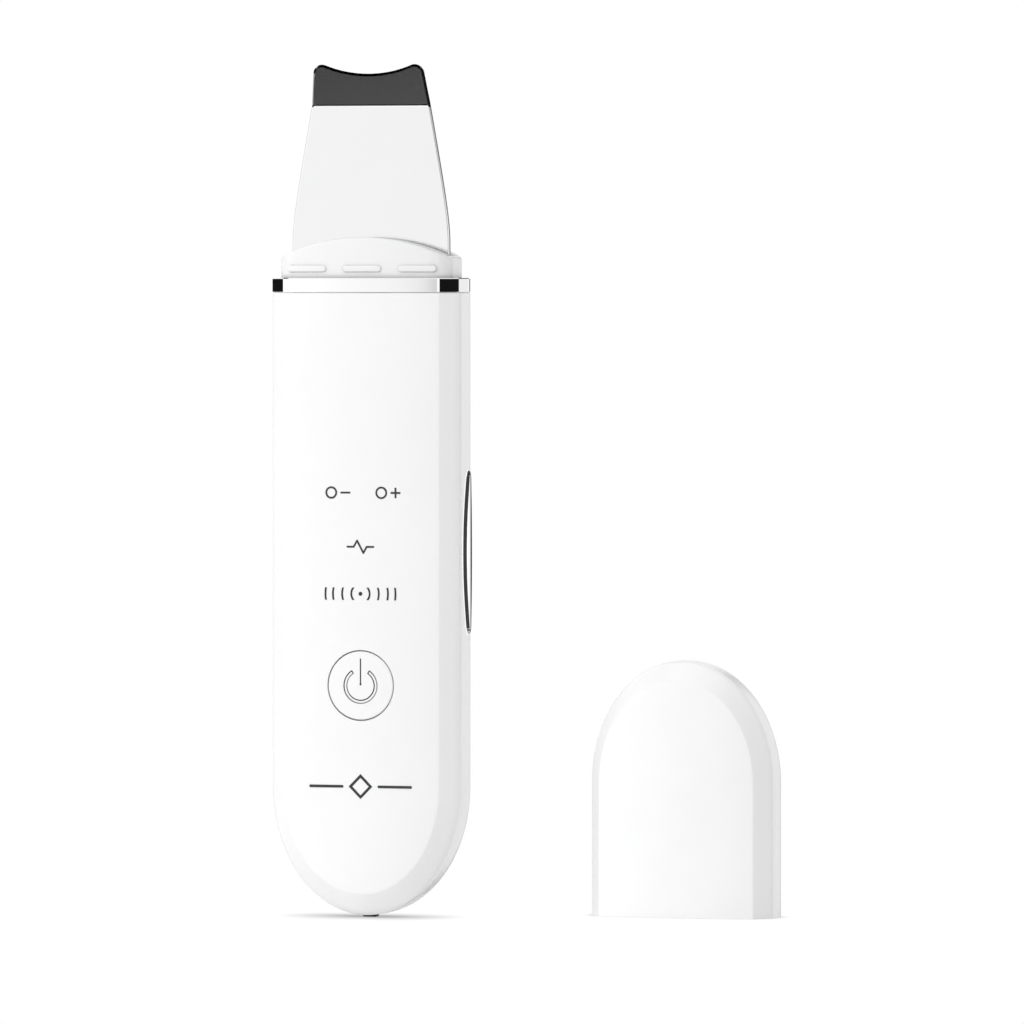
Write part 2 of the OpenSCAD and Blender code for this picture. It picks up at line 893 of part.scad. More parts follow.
front_cover();
rear_shell();
housing_gasket();
trim_ring();
neck_collar();
blade_seal();
spatula_blade();
blade_clamp();
blade_screws();
transducer_horn();
piezo_rings();
contact_lugs();
back_mass();
transducer_bolt();
damping_rings();
transducer_leads();
power_button();
button_icon();
switch_body();
switch_plunger();
mode_marks();
front_mark();
light_guide();
mode_leds();
main_board();
board_screws();
board_chips();
driver_transformer();
battery();
battery_pad();
battery_leads();
electrode(-1);  // electrode_left
electrode(1);  // electrode_right
electrode_springs();
charging_port();
port_tongue();
port_plug();
cap();
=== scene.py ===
import json
import math

import bmesh
import bpy
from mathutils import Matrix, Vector

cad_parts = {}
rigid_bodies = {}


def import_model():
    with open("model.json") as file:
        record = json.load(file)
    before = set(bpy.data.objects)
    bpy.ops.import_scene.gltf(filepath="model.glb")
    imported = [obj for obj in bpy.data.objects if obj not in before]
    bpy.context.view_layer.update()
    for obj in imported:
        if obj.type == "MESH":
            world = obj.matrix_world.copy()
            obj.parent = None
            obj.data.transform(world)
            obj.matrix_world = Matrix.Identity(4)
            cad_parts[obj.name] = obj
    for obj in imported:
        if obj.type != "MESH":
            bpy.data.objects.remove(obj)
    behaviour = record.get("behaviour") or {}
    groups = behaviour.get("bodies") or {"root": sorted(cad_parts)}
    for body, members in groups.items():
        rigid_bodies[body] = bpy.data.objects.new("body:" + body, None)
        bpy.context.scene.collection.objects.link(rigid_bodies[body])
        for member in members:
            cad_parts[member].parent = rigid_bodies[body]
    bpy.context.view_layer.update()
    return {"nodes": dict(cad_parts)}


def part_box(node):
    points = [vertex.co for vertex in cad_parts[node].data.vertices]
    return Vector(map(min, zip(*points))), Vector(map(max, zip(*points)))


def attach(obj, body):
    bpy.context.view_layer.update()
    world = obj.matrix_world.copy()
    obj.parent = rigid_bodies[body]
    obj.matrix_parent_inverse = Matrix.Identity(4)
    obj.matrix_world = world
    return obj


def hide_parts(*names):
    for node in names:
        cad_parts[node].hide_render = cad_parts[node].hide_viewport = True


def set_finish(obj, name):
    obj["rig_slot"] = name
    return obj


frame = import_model()

# ---- Sizes, in millimetres, from the CAD nodes' boxes ----


def mm_box(node):
    low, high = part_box(node)
    return [c * 1000 for c in low], [c * 1000 for c in high]


shell_low, shell_high = mm_box("rear_shell")
ring_high = mm_box("trim_ring")[1]
seal_high = mm_box("blade_seal")[1]
blade_low, blade_high = mm_box("spatula_blade")
button_low, button_high = mm_box("power_button")
icon_high = mm_box("button_icon")[1]
lens_low, lens_high = mm_box("electrode_right")
plug_high = mm_box("port_plug")[1]
tongue_low, tongue_high = mm_box("port_tongue")
cap_low, cap_high = mm_box("cap")

W = shell_high[0]  # half width of the handle
D = shell_high[1]  # half depth
BASE = shell_low[2]  # underside of the casing
TOP = shell_high[2]  # where the trim ring starts
RING_TOP = ring_high[2]
RISE = 29.0  # height of the rounded lower end
END_Z = BASE + RISE
FRONT = 4.1  # the front bevel ends this far in front of the middle
SIDE_END = 1.4  # the side band is upright up to here
REAR = 3.2  # the rear corner starts here
BEVEL = 3.8  # the front bevel's width at the sides
BEVEL_Z = 4.8  # and at the lower end
REAR_ROUND = 4.6  # how far the rear corner comes in at the sides
REAR_ROUND_Z = 5.6  # and at the lower end
SAG = 0.35  # the control face is crowned by this much
DRAW_IN = 0.08  # the sides lean in by this much before the rear corner
PART = -3.7  # the parting line between the two shells
GAP = 0.02  # half the gap at the parting line
SOFT = 0.25  # the soft crease round the control face
SHELL_T = 0.8
BUTTON_Z = (button_low[2] + button_high[2]) / 2
BUTTON_R = 7.72
HOLE_R = 8.0
ICON_Z = BUTTON_Z - 0.05
PORT_Y = (tongue_low[1] + tongue_high[1]) / 2

NECK_W = 20.6
NECK_D = 6.2
NECK_BAND = 2.5  # half the depth of the neck's flat sides
NECK_ROUND = 5.0
ARCH_TOP = seal_high[2]
ARCH_R = 47.0

CAP_X = (cap_low[0] + cap_high[0]) / 2
CAP_Y = (cap_low[1] + cap_high[1]) / 2
CAP_W = (cap_high[0] - cap_low[0]) / 2
CAP_H = cap_high[2]
CAP_RISE = 27.5  # height of the cap's rounded end
CAP_BEVEL, CAP_BEVEL_Z = 3.3, 4.3
CAP_ROUND, CAP_ROUND_Z = 3.8, 4.8
CAP_BAND = 2.5  # half the depth of the cap's side band
CAP_SAG = 0.4
CAP_SOFT = 0.2
CAP_T = 0.9

BLADE_W = (blade_high[0] - blade_low[0]) / 2
BLADE_T = 0.8
BEND_Z = 183.3
BEND = math.radians(13)
BEND_R = 3.2
TIP_L = (blade_high[2] - BEND_Z - 0.09) / math.cos(BEND)
NOTCH = 2.15  # depth of the tip's hollow
HORN_R = 2.2

# ---- Mesh helpers ----


def grid(mesh, rows, wrap=False):
    """Adds the quads between rows of points to mesh, a pair of lists."""
    verts, faces = mesh
    start, n = len(verts), len(rows[0])
    for row in rows:
        verts.extend(row)
    for i in range(len(rows) - 1):
        for j in range(n if wrap else n - 1):
            a = start + i * n + j
            b = start + i * n + (j + 1) % n
            faces.append((a, b, b + n, a + n))


def fan(mesh, loop, centre):
    """Closes a loop with triangles round a middle point."""
    verts, faces = mesh
    start, n = len(verts), len(loop)
    verts.extend(loop)
    verts.append(centre)
    for j in range(n):
        faces.append((start + j, start + (j + 1) % n, start + n))


def piece(name, mesh, body, nodes, slot, outward=None):
    """Makes an object from millimetre points, welds its seams and turns its faces outward."""
    data = bpy.data.meshes.new(name)
    data.from_pydata([Vector(p) / 1000 for p in mesh[0]], [], mesh[1])
    work = bmesh.new()
    work.from_mesh(data)
    bmesh.ops.remove_doubles(work, verts=work.verts, dist=2e-6)
    bmesh.ops.dissolve_degenerate(work, edges=work.edges, dist=1e-7)
    bmesh.ops.recalc_face_normals(work, faces=work.faces)
    if outward:
        middle = Vector(outward) / 1000
        vote = sum(f.normal.dot(f.calc_center_median() - middle) * f.calc_area() for f in work.faces)
        if vote < 0:
            bmesh.ops.reverse_faces(work, faces=work.faces)
    work.to_mesh(data)
    work.free()
    obj = bpy.data.objects.new(name, data)
    bpy.context.scene.collection.objects.link(obj)
    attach(obj, body)
    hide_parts(*nodes)
    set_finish(obj, slot)
    return obj


def solidify(obj, thickness):
    mod = obj.modifiers.new("wall", "SOLIDIFY")
    mod.thickness = thickness / 1000
    mod.offset = -1.0


def round_edges(obj, width, segments=3, angle=40):
    mod = obj.modifiers.new("edge", "BEVEL")
    mod.width = width / 1000
    mod.segments = segments
    mod.limit_method = "ANGLE"
    mod.angle_limit = math.radians(angle)


def bake(obj, angle=40):
    """Applies the object's modifiers and shades it smooth up to an angle."""
    bpy.context.view_layer.update()
    graph = bpy.context.evaluated_depsgraph_get()
    data = bpy.data.meshes.new_from_object(obj.evaluated_get(graph))
    obj.modifiers.clear()
    obj.data = data
    data.polygons.foreach_set("use_smooth", [True] * len(data.polygons))
    data.set_sharp_from_angle(angle=math.radians(angle))


def cut(obj, cutter_mesh):
    """Takes a closed cutter, in millimetres, out of the object."""
    data = bpy.data.meshes.new("cutter")
    data.from_pydata([Vector(p) / 1000 for p in cutter_mesh[0]], [], cutter_mesh[1])
    work = bmesh.new()
    work.from_mesh(data)
    bmesh.ops.remove_doubles(work, verts=work.verts, dist=1e-6)
    bmesh.ops.recalc_face_normals(work, faces=work.faces)
    work.to_mesh(data)
    work.free()
    cutter = bpy.data.objects.new("cutter", data)
    bpy.context.scene.collection.objects.link(cutter)
    mod = obj.modifiers.new("cut", "BOOLEAN")
    mod.operation = "DIFFERENCE"
    mod.solver = "EXACT"
    mod.object = cutter
    bake(obj)
    bpy.data.objects.remove(cutter)


def stadium(w, d, n=12):
    """Points round a shape w wide and d deep with half-round ends, in x and y."""
    r = d / 2
    out = []
    for side in (1, -1):
        for i in range(n + 1):
            t = math.pi * i / n - math.pi / 2
            out.append((side * (w / 2 - r + r * math.cos(t)), side * r * math.sin(t)))
    return out


def bezier(a, b, c, n=5):
    """Points on a quadratic curve from a to c, pulled towards b."""
    out = []
    for i in range(n + 1):
        t = i / n
        out.append([(1 - t) ** 2 * p + 2 * t * (1 - t) * q + t * t * r for p, q, r in zip(a, b, c)])
    return out


# ---- Pebble outlines: straight sides that end in half an ellipse ----

SIDES, ARC, ACROSS = 74, 64, 12


def outline(w, rise, centre, top):
    """An open line from (w, top) round the end to (-w, top). A negative rise turns the end upward."""
    right = [(w, top + (centre - top) * i / SIDES) for i in range(SIDES)]
    end = [
        (w * math.cos(math.pi * i / ARC), centre - rise * math.sin(math.pi * i / ARC))
        for i in range(ARC + 1)
    ]
    left = [(-w, centre + (top - centre) * i / SIDES) for i in range(1, SIDES + 1)]
    return right + end + left


def closing(w, top):
    """The points between the two ends of an outline."""
    return [(-w + 2 * w * i / ACROSS, top) for i in range(1, ACROSS)]


class Pebble:
    """A casing shape: half width, half depth, end ellipse and crowned face."""

    def __init__(self, w, d, rise, centre, top, bevel, bevel_z, sag):
        self.w, self.d, self.rise, self.centre, self.top = w, d, rise, centre, top
        self.bevel, self.bevel_z, self.sag = bevel, bevel_z, sag
        self.sign = 1 if rise > 0 else -1

    def line(self, ix, iz):
        """The outline drawn in by ix at the sides and iz at the end."""
        return outline(self.w - ix, self.rise - self.sign * iz, self.centre, self.top)

    def strip(self, profile):
        """Rows of points for a profile of (inset at the sides, inset at the end, y)."""
        return [[(x, y, z) for x, z in self.line(ix, iz)] for ix, iz, y in profile]

    def rho(self, x, z):
        """How far out a point of the face lies: 1 at its crease."""
        past = max(0.0, self.sign * (self.centre - z))
        across = x / (self.w - self.bevel)
        along = past / (abs(self.rise) - self.bevel_z)
        return math.hypot(across, along)

    def face_y(self, x, z):
        return -self.d + self.sag * self.rho(x, z) ** 4

    def front(self, front, swell, soft, fade, turn, steep, lip):
        """The profile from the face's crease over the bevel to the side band, and on to y = lip.

        The bevel rolls over for its last stretch of length fade, ends turned by steep degrees from
        the front, and meets the band turn behind the corner.
        """
        crease = (self.bevel, self.bevel_z, -self.d + self.sag)
        corner = (0.0, 0.0, -front)
        k = soft / self.bevel
        first = (self.bevel * (1 + k), self.bevel_z * (1 + k))
        start_y = -self.d + self.sag * ((self.w - first[0]) / (self.w - self.bevel)) ** 4
        length = math.hypot(self.bevel, self.d - self.sag - front)

        def facet(t):
            a = [p + (q - p) * t for p, q in zip(crease, corner)]
            push = swell * 4 * max(0.0, t * (1 - t)) * 0.7
            return (a[0] - push, a[1] - push, a[2] - push)

        slope = math.tan(math.radians(steep)) * self.bevel - (self.d - self.sag - front)
        back = turn * length / slope
        bend = [p + (q - p) * back / length for p, q in zip(corner, crease)]
        rows = bezier((first[0], first[1], start_y), crease, facet(soft / length), 6)
        t0, t1 = soft / length, 1 - fade / length
        rows += [facet(t0 + (t1 - t0) * i / 8) for i in range(1, 8)]
        rows += bezier(facet(t1), bend, (0, 0, -front + turn), 8)
        rows.append((0, 0, -front + turn + 2 * GAP))
        rows.append((0, 0, lip))
        return rows

    def face_rows(self, q, hole=None):
        """Rows that fill the crowned face inside an inset of q bevels: round a hole, or in to the middle."""
        ix, iz = self.bevel * q, self.bevel_z * q
        edge = self.line(ix, iz) + closing(self.w - ix, self.top)
        if hole:
            cz, r = hole
            inner = []
            for x, z in edge:
                a = math.atan2(z - cz, x)
                inner.append((r * math.cos(a), cz + r * math.sin(a)))
            steps = [1, 0.985, 0.96, 0.92, 0.86, 0.78, 0.7, 0.6, 0.5, 0.4, 0.3, 0.2, 0.12, 0.06, 0.02, 0]
        else:
            cz = self.centre
            inner = [(0, cz)] * len(edge)
            steps = [1, 0.985, 0.96, 0.92, 0.86, 0.78, 0.7, 0.6, 0.5, 0.4, 0.3, 0.2, 0.1, 0.03]
        rows = []
        for f in steps:
            row = []
            for (x, z), (hx, hz) in zip(edge, inner):
                px, pz = hx + (x - hx) * f, hz + (z - hz) * f
                row.append((px, self.face_y(px, pz), pz))
            rows.append(row)
        return rows


def lean():
    """Steps of (inset, y) where the side band leans in before the rear corner."""
    return [(DRAW_IN * (i / 4) ** 2, SIDE_END + (REAR - SIDE_END) * i / 4) for i in range(1, 5)]


def rear_corner(start, inset, round_x, round_z):
    """The profile round the rear corner, from the side band at y = start to the back."""
    rows = []
    for i in range(1, 13):
        t = math.pi / 2 * i / 12
        k = 1 - math.cos(t)
        y = start + (D - start) * math.sin(t)
        rows.append((inset + (round_x - inset) * k, inset + (round_z - inset) * k, y))
    return rows


def flat_back(mesh, edge, cz):
    """Fills the flat back inside an edge of (x, z) points, in rows round a middle at z = cz."""
    rows = []
    for f in (1, 0.97, 0.9, 0.75, 0.6, 0.45, 0.3, 0.15, 0.04):
        rows.append([(x * f, D, cz + (z - cz) * f) for x, z in edge])
    grid(mesh, rows, wrap=True)
    fan(mesh, rows[-1], (0, D, cz))


# ---- Handle: front cover, rear shell, trim ring ----

handle = Pebble(W, D, RISE, END_Z, TOP, BEVEL, BEVEL_Z, SAG)
HANDLE_MIDDLE = (0, 0, 80)


def crown(x):
    """The control face's y at a distance x from its middle line."""
    return -D + SAG * (x / (W - BEVEL)) ** 4


def front_cover():
    mesh = ([], [])
    grid(mesh, handle.face_rows(1 + SOFT / BEVEL, (BUTTON_Z, HOLE_R)), wrap=True)
    grid(mesh, handle.strip(handle.front(FRONT, 0.05, SOFT, 1.2, 0.3, 62, PART - GAP)))
    obj = piece("front_cover_looks", mesh, "handle", ["front_cover"], "white_shell", HANDLE_MIDDLE)
    solidify(obj, SHELL_T)
    round_edges(obj, 0.1, 2, 65)
    bake(obj, 20)


def rear_shell():
    """The rear shell, with the port's opening cut through its lower end."""
    mesh = ([], [])
    profile = [(0, 0, PART + GAP), (0, 0, -1.0), (0, 0, SIDE_END)]
    profile += [(inset, inset, y) for inset, y in lean()]
    profile += rear_corner(REAR, DRAW_IN, REAR_ROUND, REAR_ROUND_Z)
    grid(mesh, handle.strip(profile))
    flat_back(mesh, handle.line(REAR_ROUND, REAR_ROUND_Z) + closing(W - REAR_ROUND, TOP), 78.0)
    obj = piece("rear_shell_looks", mesh, "handle", ["rear_shell"], "white_shell", HANDLE_MIDDLE)
    solidify(obj, SHELL_T)
    round_edges(obj, 0.1, 2, 65)
    bake(obj)
    loop = stadium(8.8, 3.6)
    cutter = ([], [])
    low = [(x, y + PORT_Y, -2) for x, y in loop]
    high = [(x, y + PORT_Y, 3.4) for x, y in loop]
    grid(cutter, [low, high], wrap=True)
    fan(cutter, low, (0, PORT_Y, -2))
    fan(cutter, high, (0, PORT_Y, 3.4))
    cut(obj, cutter)
    obj.data.set_sharp_from_angle(angle=math.radians(50))


def ring_section():
    """The trim ring's outline seen from above: crowned face, bevels, side bands, rear corners and back."""
    face = 18.25
    flat_start, flat_share = 0.045, 0.93  # the bevels' flats stop short of their creases
    band_start = -FRONT + 0.14
    points = [(-face + 2 * face * i / 32, crown(-face + 2 * face * i / 32)) for i in range(33)]
    right = []
    for i in range(9):
        t = flat_start + flat_share * i / 8
        right.append((W - BEVEL + BEVEL * t, -D + SAG + (D - SAG - FRONT) * t))
    right += [(W, band_start + (SIDE_END - band_start) * i / 4) for i in range(5)]
    right += [(W - inset, y) for inset, y in lean()]
    right += [(W - inset, y) for inset, _, y in rear_corner(REAR, DRAW_IN, REAR_ROUND, REAR_ROUND_Z)[2:]]
    back = [(W - REAR_ROUND - 2 * (W - REAR_ROUND) * i / 12, D) for i in range(1, 12)]
    left = [(-x, y) for x, y in reversed(right)]
    return points + right + back + left


def inward(loop, step):
    """The loop moved in by step, seen from above."""
    out = []
    n = len(loop)
    for i, (x, y) in enumerate(loop):
        px, py = loop[i - 1]
        qx, qy = loop[(i + 1) % n]
        length = math.hypot(qx - px, qy - py)
        out.append((x - step * (qy - py) / length, y + step * (qx - px) / length))
    return out


def trim_ring():
    """Polished band with a fine broken edge above and below."""
    loop = ring_section()
    edge = inward(loop, 0.2)
    z0, z1 = TOP + 0.05, RING_TOP
    rows = [
        [(x, y, z0) for x, y in edge], [(x, y, z0 + 0.2) for x, y in loop],
        [(x, y, z1 - 0.2) for x, y in loop], [(x, y, z1) for x, y in edge],
        [(x * 0.9, y * 0.8, z1) for x, y in loop], [(x * 0.9, y * 0.8, z0) for x, y in loop],
    ]
    mesh = ([], [])
    grid(mesh, rows + rows[:1], wrap=True)
    obj = piece("trim_ring_looks", mesh, "handle", ["trim_ring"], "chrome_trim")
    bake(obj, 9.5)


# ---- Neck with its cap ribs ----


def neck_section(inset=0.0):
    """The neck's outline seen from above: flat faces, wide round corners."""
    w, d = NECK_W - inset, NECK_D - inset
    quarter = []
    for i in range(17):
        t = math.pi / 2 * i / 16
        x = NECK_W - NECK_ROUND * (1 - math.cos(t)) - inset * math.cos(t)
        y = NECK_BAND + (NECK_D - NECK_BAND) * math.sin(t) - inset * math.sin(t)
        quarter.append((min(x, w), min(y, d)))
    face = NECK_W - NECK_ROUND
    flat = [(face - 2 * face * i / 24, d) for i in range(1, 24)]
    side = [(-w, NECK_BAND - 2 * NECK_BAND * i / 4) for i in range(1, 4)]
    back = quarter + flat + [(-x, y) for x, y in reversed(quarter)]
    front = [(x, -y) for x, y in reversed(back)]
    return [(x, y) for x, y in back] + side + [(x, y) for x, y in front] + [(-x, -y) for x, y in side]


def arch_z(x):
    """Height of the neck's arched top."""
    return ARCH_TOP - (ARCH_R - math.sqrt(ARCH_R * ARCH_R - x * x))


def neck_collar():
    """The neck up to its arched top, with the blade's slot."""
    loop = neck_section()
    soft = 0.45
    rows = [[(x, y, TOP + 0.5) for x, y in loop]]
    for f in (0.35, 0.6, 0.8, 0.92):
        row = []
        for x, y in loop:
            z1 = arch_z(min(abs(x), NECK_W)) - soft
            row.append((x, y, TOP + 0.5 + (z1 - TOP - 0.5) * f))
        rows.append(row)
    for i in range(6):
        t = math.pi / 2 * i / 5
        ring = neck_section(soft * (1 - math.cos(t)))
        rows.append([(x, y, arch_z(min(abs(x), NECK_W)) - soft * (1 - math.sin(t))) for x, y in ring])
    last = neck_section(soft)
    half_x, half_y = seal_high[0] + 0.03, seal_high[1] + 0.03
    slot = []
    for x, y in last:
        sx = max(-half_x, min(half_x, x * half_x / (NECK_W - soft - 0.6)))
        sy = max(-half_y, min(half_y, y))
        slot.append((sx, sy))
    for f in (0.12, 0.5, 0.94, 1.0):
        row = []
        for (x, y), (sx, sy) in zip(last, slot):
            px, py = x + (sx - x) * f, y + (sy - y) * f
            row.append((px, py, arch_z(px) - (0.1 if f == 1.0 else 0)))
        rows.append(row)
    rows.append([(sx, sy, arch_z(sx) - 2.2) for sx, sy in slot])
    mesh = ([], [])
    grid(mesh, rows, wrap=True)
    obj = piece("neck_collar_looks", mesh, "handle", ["neck_collar"], "white_neck", (0, 0, 146))
    bake(obj, 50)


def neck_ribs():
    """Six raised pills that the cap snaps over."""
    length, height, proud, pitch, z = 9.2, 1.5, 0.35, 13.2, RING_TOP + 2.1
    mesh = ([], [])
    for face in (-1, 1):
        for i in (-1, 0, 1):
            rows = [(0, -1.2), (0, 0.02), (0, 0.12)]
            for k in range(1, 6):
                t = math.pi / 2 * k / 5
                rows.append((0.3 * (1 - math.cos(t)), 0.12 + (proud - 0.12) * math.sin(t)))
            loops = []
            for inset, out in rows:
                loop = stadium(length - 2 * inset, height - 2 * inset, 10)
                loops.append([(x + i * pitch, face * (NECK_D + out), z + y) for x, y in loop])
            grid(mesh, loops, wrap=True)
            fan(mesh, loops[-1], (i * pitch, face * (NECK_D + proud), z))
    obj = piece("neck_ribs", mesh, "handle", [], "white_neck")
    bake(obj, 60)


# ---- Blade ----


def blade_half(z):
    """Half the blade's width at a height: nearly upright at the arch, then tapering evenly."""
    u = max(0.0, z - ARCH_TOP + 1.6)
    return BLADE_W - 0.19 * (math.hypot(u, 7.5) - 7.5)


def tip_edge():
    """The tip's upper edge seen square on: a horn, the hollow, a horn."""
    foot = blade_half(BEND_Z)
    side = foot - 0.9
    horn_x = side - HORN_R
    rise = HORN_R - NOTCH
    hollow_r = (horn_x * horn_x + rise * rise - HORN_R * HORN_R) / (2 * NOTCH)
    meet_x = horn_x * (1 - HORN_R / (HORN_R + hollow_r))
    centre = TIP_L - NOTCH + hollow_r
    turn = math.atan2(centre - (TIP_L - HORN_R), horn_x)
    right = []
    for i in range(19):
        t = (math.pi - turn) * i / 18
        right.append((horn_x + HORN_R * math.cos(t), TIP_L - HORN_R + HORN_R * math.sin(t)))
    hollow = []
    for i in range(1, 48):
        x = meet_x - 2 * meet_x * i / 48
        hollow.append((x, centre - math.sqrt(hollow_r ** 2 - x * x)))
    left = [(-x, z) for x, z in reversed(right)]
    return foot, side, right + hollow + left


def on_blade(x, along, out):
    """A point on the bent blade: across it, along it from the bend, and out from its middle plane."""
    setback = BEND_R * math.tan(BEND / 2)
    arc = BEND_R * BEND
    if along <= -setback:
        y, z, turn = 0.0, BEND_Z + along, 0.0
    elif along <= -setback + arc:
        turn = (along + setback) / BEND_R
        y = -BEND_R * (1 - math.cos(turn))
        z = BEND_Z - setback + BEND_R * math.sin(turn)
    else:
        turn = BEND
        far = along + setback - arc + setback
        y, z = -far * math.sin(BEND), BEND_Z + far * math.cos(BEND)
    return (x, y - out * math.cos(turn), z - out * math.sin(turn))


def spatula():
    """The blade as a skin over both faces, with a shallow ground bevel that turns steep round the tip."""
    half = BLADE_T / 2

    def ground(a):
        """The bevel's width and depth, at a distance along the blade from the bend."""
        t = min(1.0, max(0.0, (a + 0.5) / 0.5))
        t = t * t * (3 - 2 * t)
        return 0.42 + 0.08 * t, 0.11 + 0.2 * t

    foot, side, edge = tip_edge()
    inner = []
    for i, (x, z) in enumerate(edge):
        ax, az = edge[max(0, i - 1)]
        bx, bz = edge[min(len(edge) - 1, i + 1)]
        length = math.hypot(bx - ax, bz - az)
        width = ground(z)[0]
        inner.append((x - width * (bz - az) / length, z + width * (bx - ax) / length))
    share = [x / inner[0][0] for x, z in inner]
    bottom = RING_TOP + 3.5 - BEND_Z
    levels = [bottom + (-0.6 - bottom) * i / 25 for i in range(26)]
    levels += [-0.6 + 1.2 * i / 20 for i in range(1, 21)]
    rows = []
    for a in levels:
        across = blade_half(BEND_Z + min(a, 0)) - 0.1 * max(0, a) - ground(a)[0]
        rows.append([(s * across, a) for s in share])
    start = rows[-1]
    for i in range(1, 11):
        f = i / 10
        rows.append([(p + (x - p) * f, q + (z - q) * f) for (p, q), (x, z) in zip(start, inner)])
    last = len(rows) - 1
    border = [rows[i][0] for i in range(last)] + list(rows[last])
    border += [rows[i][-1] for i in range(last - 1, -1, -1)]
    mesh = ([], [])
    grid(mesh, [[on_blade(x, a, half) for x, a in row] for row in rows])
    grid(mesh, [[on_blade(x, a, -half) for x, a in row] for row in rows])
    loops = []
    # The rim from the front face round to the back, in bevel widths outward and bevel depths inward.
    front_rim = [(0, 0, 1), (0.76, 1, 1), (0.96, 1.9, 1)]
    back_rim = [(reach, drop, -1) for reach, drop, _ in reversed(front_rim)]
    deepest = 0.36
    for reach, drop, face in front_rim + [(1.08, 0, 0)] + back_rim:
        loop = []
        for i, (x, a) in enumerate(border):
            px, pa = border[max(0, i - 1)]
            qx, qa = border[min(len(border) - 1, i + 1)]
            length = math.hypot(qx - px, qa - pa)
            width, depth = ground(a)
            push = reach * width
            out = face * (half - min(depth * drop, deepest))
            loop.append(on_blade(x + push * (qa - pa) / length, a - push * (qx - px) / length, out))
        loops.append(loop)
    grid(mesh, loops)
    obj = piece("spatula_looks", mesh, "handle", ["spatula_blade"], "stainless_blade", (0, 0, 165))
    bake(obj, 28)


# ---- Power button and its symbol ----


def button_face():
    """Crowned like the control face round it, with a rounded rim and a closed back."""
    n = 96
    angles = [2 * math.pi * i / n for i in range(n)]

    def ring(r, drop):
        return [
            (r * math.cos(a), crown(r * math.cos(a)) + drop, BUTTON_Z + r * math.sin(a))
            for a in angles
        ]

    rim, flange, post_r = 0.25, 0.95, 1.5
    rows = [ring(r, 0.0) for r in (0.8, 2, 3.2, 4.4, 5.6, 6.6, 7.3, BUTTON_R - rim)]
    for i in range(1, 6):
        t = math.pi / 2 * i / 5
        rows.append(ring(BUTTON_R - rim * (1 - math.sin(t)), rim * (1 - math.cos(t))))
    rows.append(ring(BUTTON_R, 0.9))
    rows.append(ring(BUTTON_R, 1.5))
    rows.append(ring(BUTTON_R + flange, 1.62))
    rows.append(ring(BUTTON_R + flange, 2.3))
    rows.append(ring(post_r, 2.3))
    end = button_high[1]
    rows.append([(post_r * math.cos(a), end, BUTTON_Z + post_r * math.sin(a)) for a in angles])
    mesh = ([], [])
    grid(mesh, rows, wrap=True)
    fan(mesh, rows[0], (0, -D, BUTTON_Z))
    fan(mesh, rows[-1], (0, end, BUTTON_Z))
    obj = piece("power_button_looks", mesh, "button", ["power_button"], "white_button")
    bake(obj, 50)


def ribbon(mesh, path, width, lift, thick=0.03):
    """A thin raised line along a path of (x, z) points on the control face."""
    top = lift + 0.006
    section = ((1, -thick), (1, lift), (0.7, top), (-0.7, top), (-1, lift), (-1, -thick))
    rows = []
    n = len(path)
    for i, (x, z) in enumerate(path):
        ax, az = path[max(0, i - 1)]
        bx, bz = path[min(n - 1, i + 1)]
        length = math.hypot(bx - ax, bz - az)
        nx, nz = -(bz - az) / length, (bx - ax) / length
        row = []
        for side, out in section:
            px, pz = x + nx * side * width / 2, z + nz * side * width / 2
            row.append((px, crown(px) - out, pz))
        rows.append(row)
    grid(mesh, rows, wrap=True)
    for row in (rows[0], rows[-1]):
        middle = tuple(sum(p[k] for p in row) / len(row) for k in range(3))
        fan(mesh, row, middle)


def arc_path(r, gap, n=72):
    """Points round the symbol's open ring, with a gap of this many degrees each side of its top."""
    out = []
    for i in range(n + 1):
        a = math.radians(90 - gap) - math.radians(360 - 2 * gap) * i / n
        out.append((r * math.cos(a), ICON_Z + r * math.sin(a)))
    return out


def icon():
    """The open ring as two fine lines, its two ends, and the bar. Returns the inner line and the bar."""
    gap = 32.0
    for name, r, nodes in (("icon_outer_line", 3.96, ["button_icon"]), ("icon_inner_line", 3.28, [])):
        mesh = ([], [])
        ribbon(mesh, arc_path(r, gap), 0.27, 0.012)
        ring = piece(name, mesh, "button", nodes, "icon_grey")
        bake(ring, 60)
    mesh = ([], [])
    for side in (-1, 1):
        a = math.radians(90 + side * gap)
        ends = [(r * math.cos(a), ICON_Z + r * math.sin(a)) for r in (3.2, 4.04)]
        middle = tuple((p + q) / 2 for p, q in zip(*ends))
        ribbon(mesh, [ends[0], middle, ends[1]], 0.26, 0.016)
    z1 = icon_high[2]
    z0 = z1 - 5.95
    ribbon(mesh, [(0, z0 + (z1 - z0) * i / 6) for i in range(7)], 0.3, 0.016)
    ribbon(mesh, [(0, z0 - 0.1), (0, z0 + 0.1), (0, z0 + 0.3)], 0.42, 0.02)
    bar = piece("icon_bar", mesh, "button", [], "icon_grey")
    bake(bar, 60)
    return ring, bar


# ---- Electrodes ----


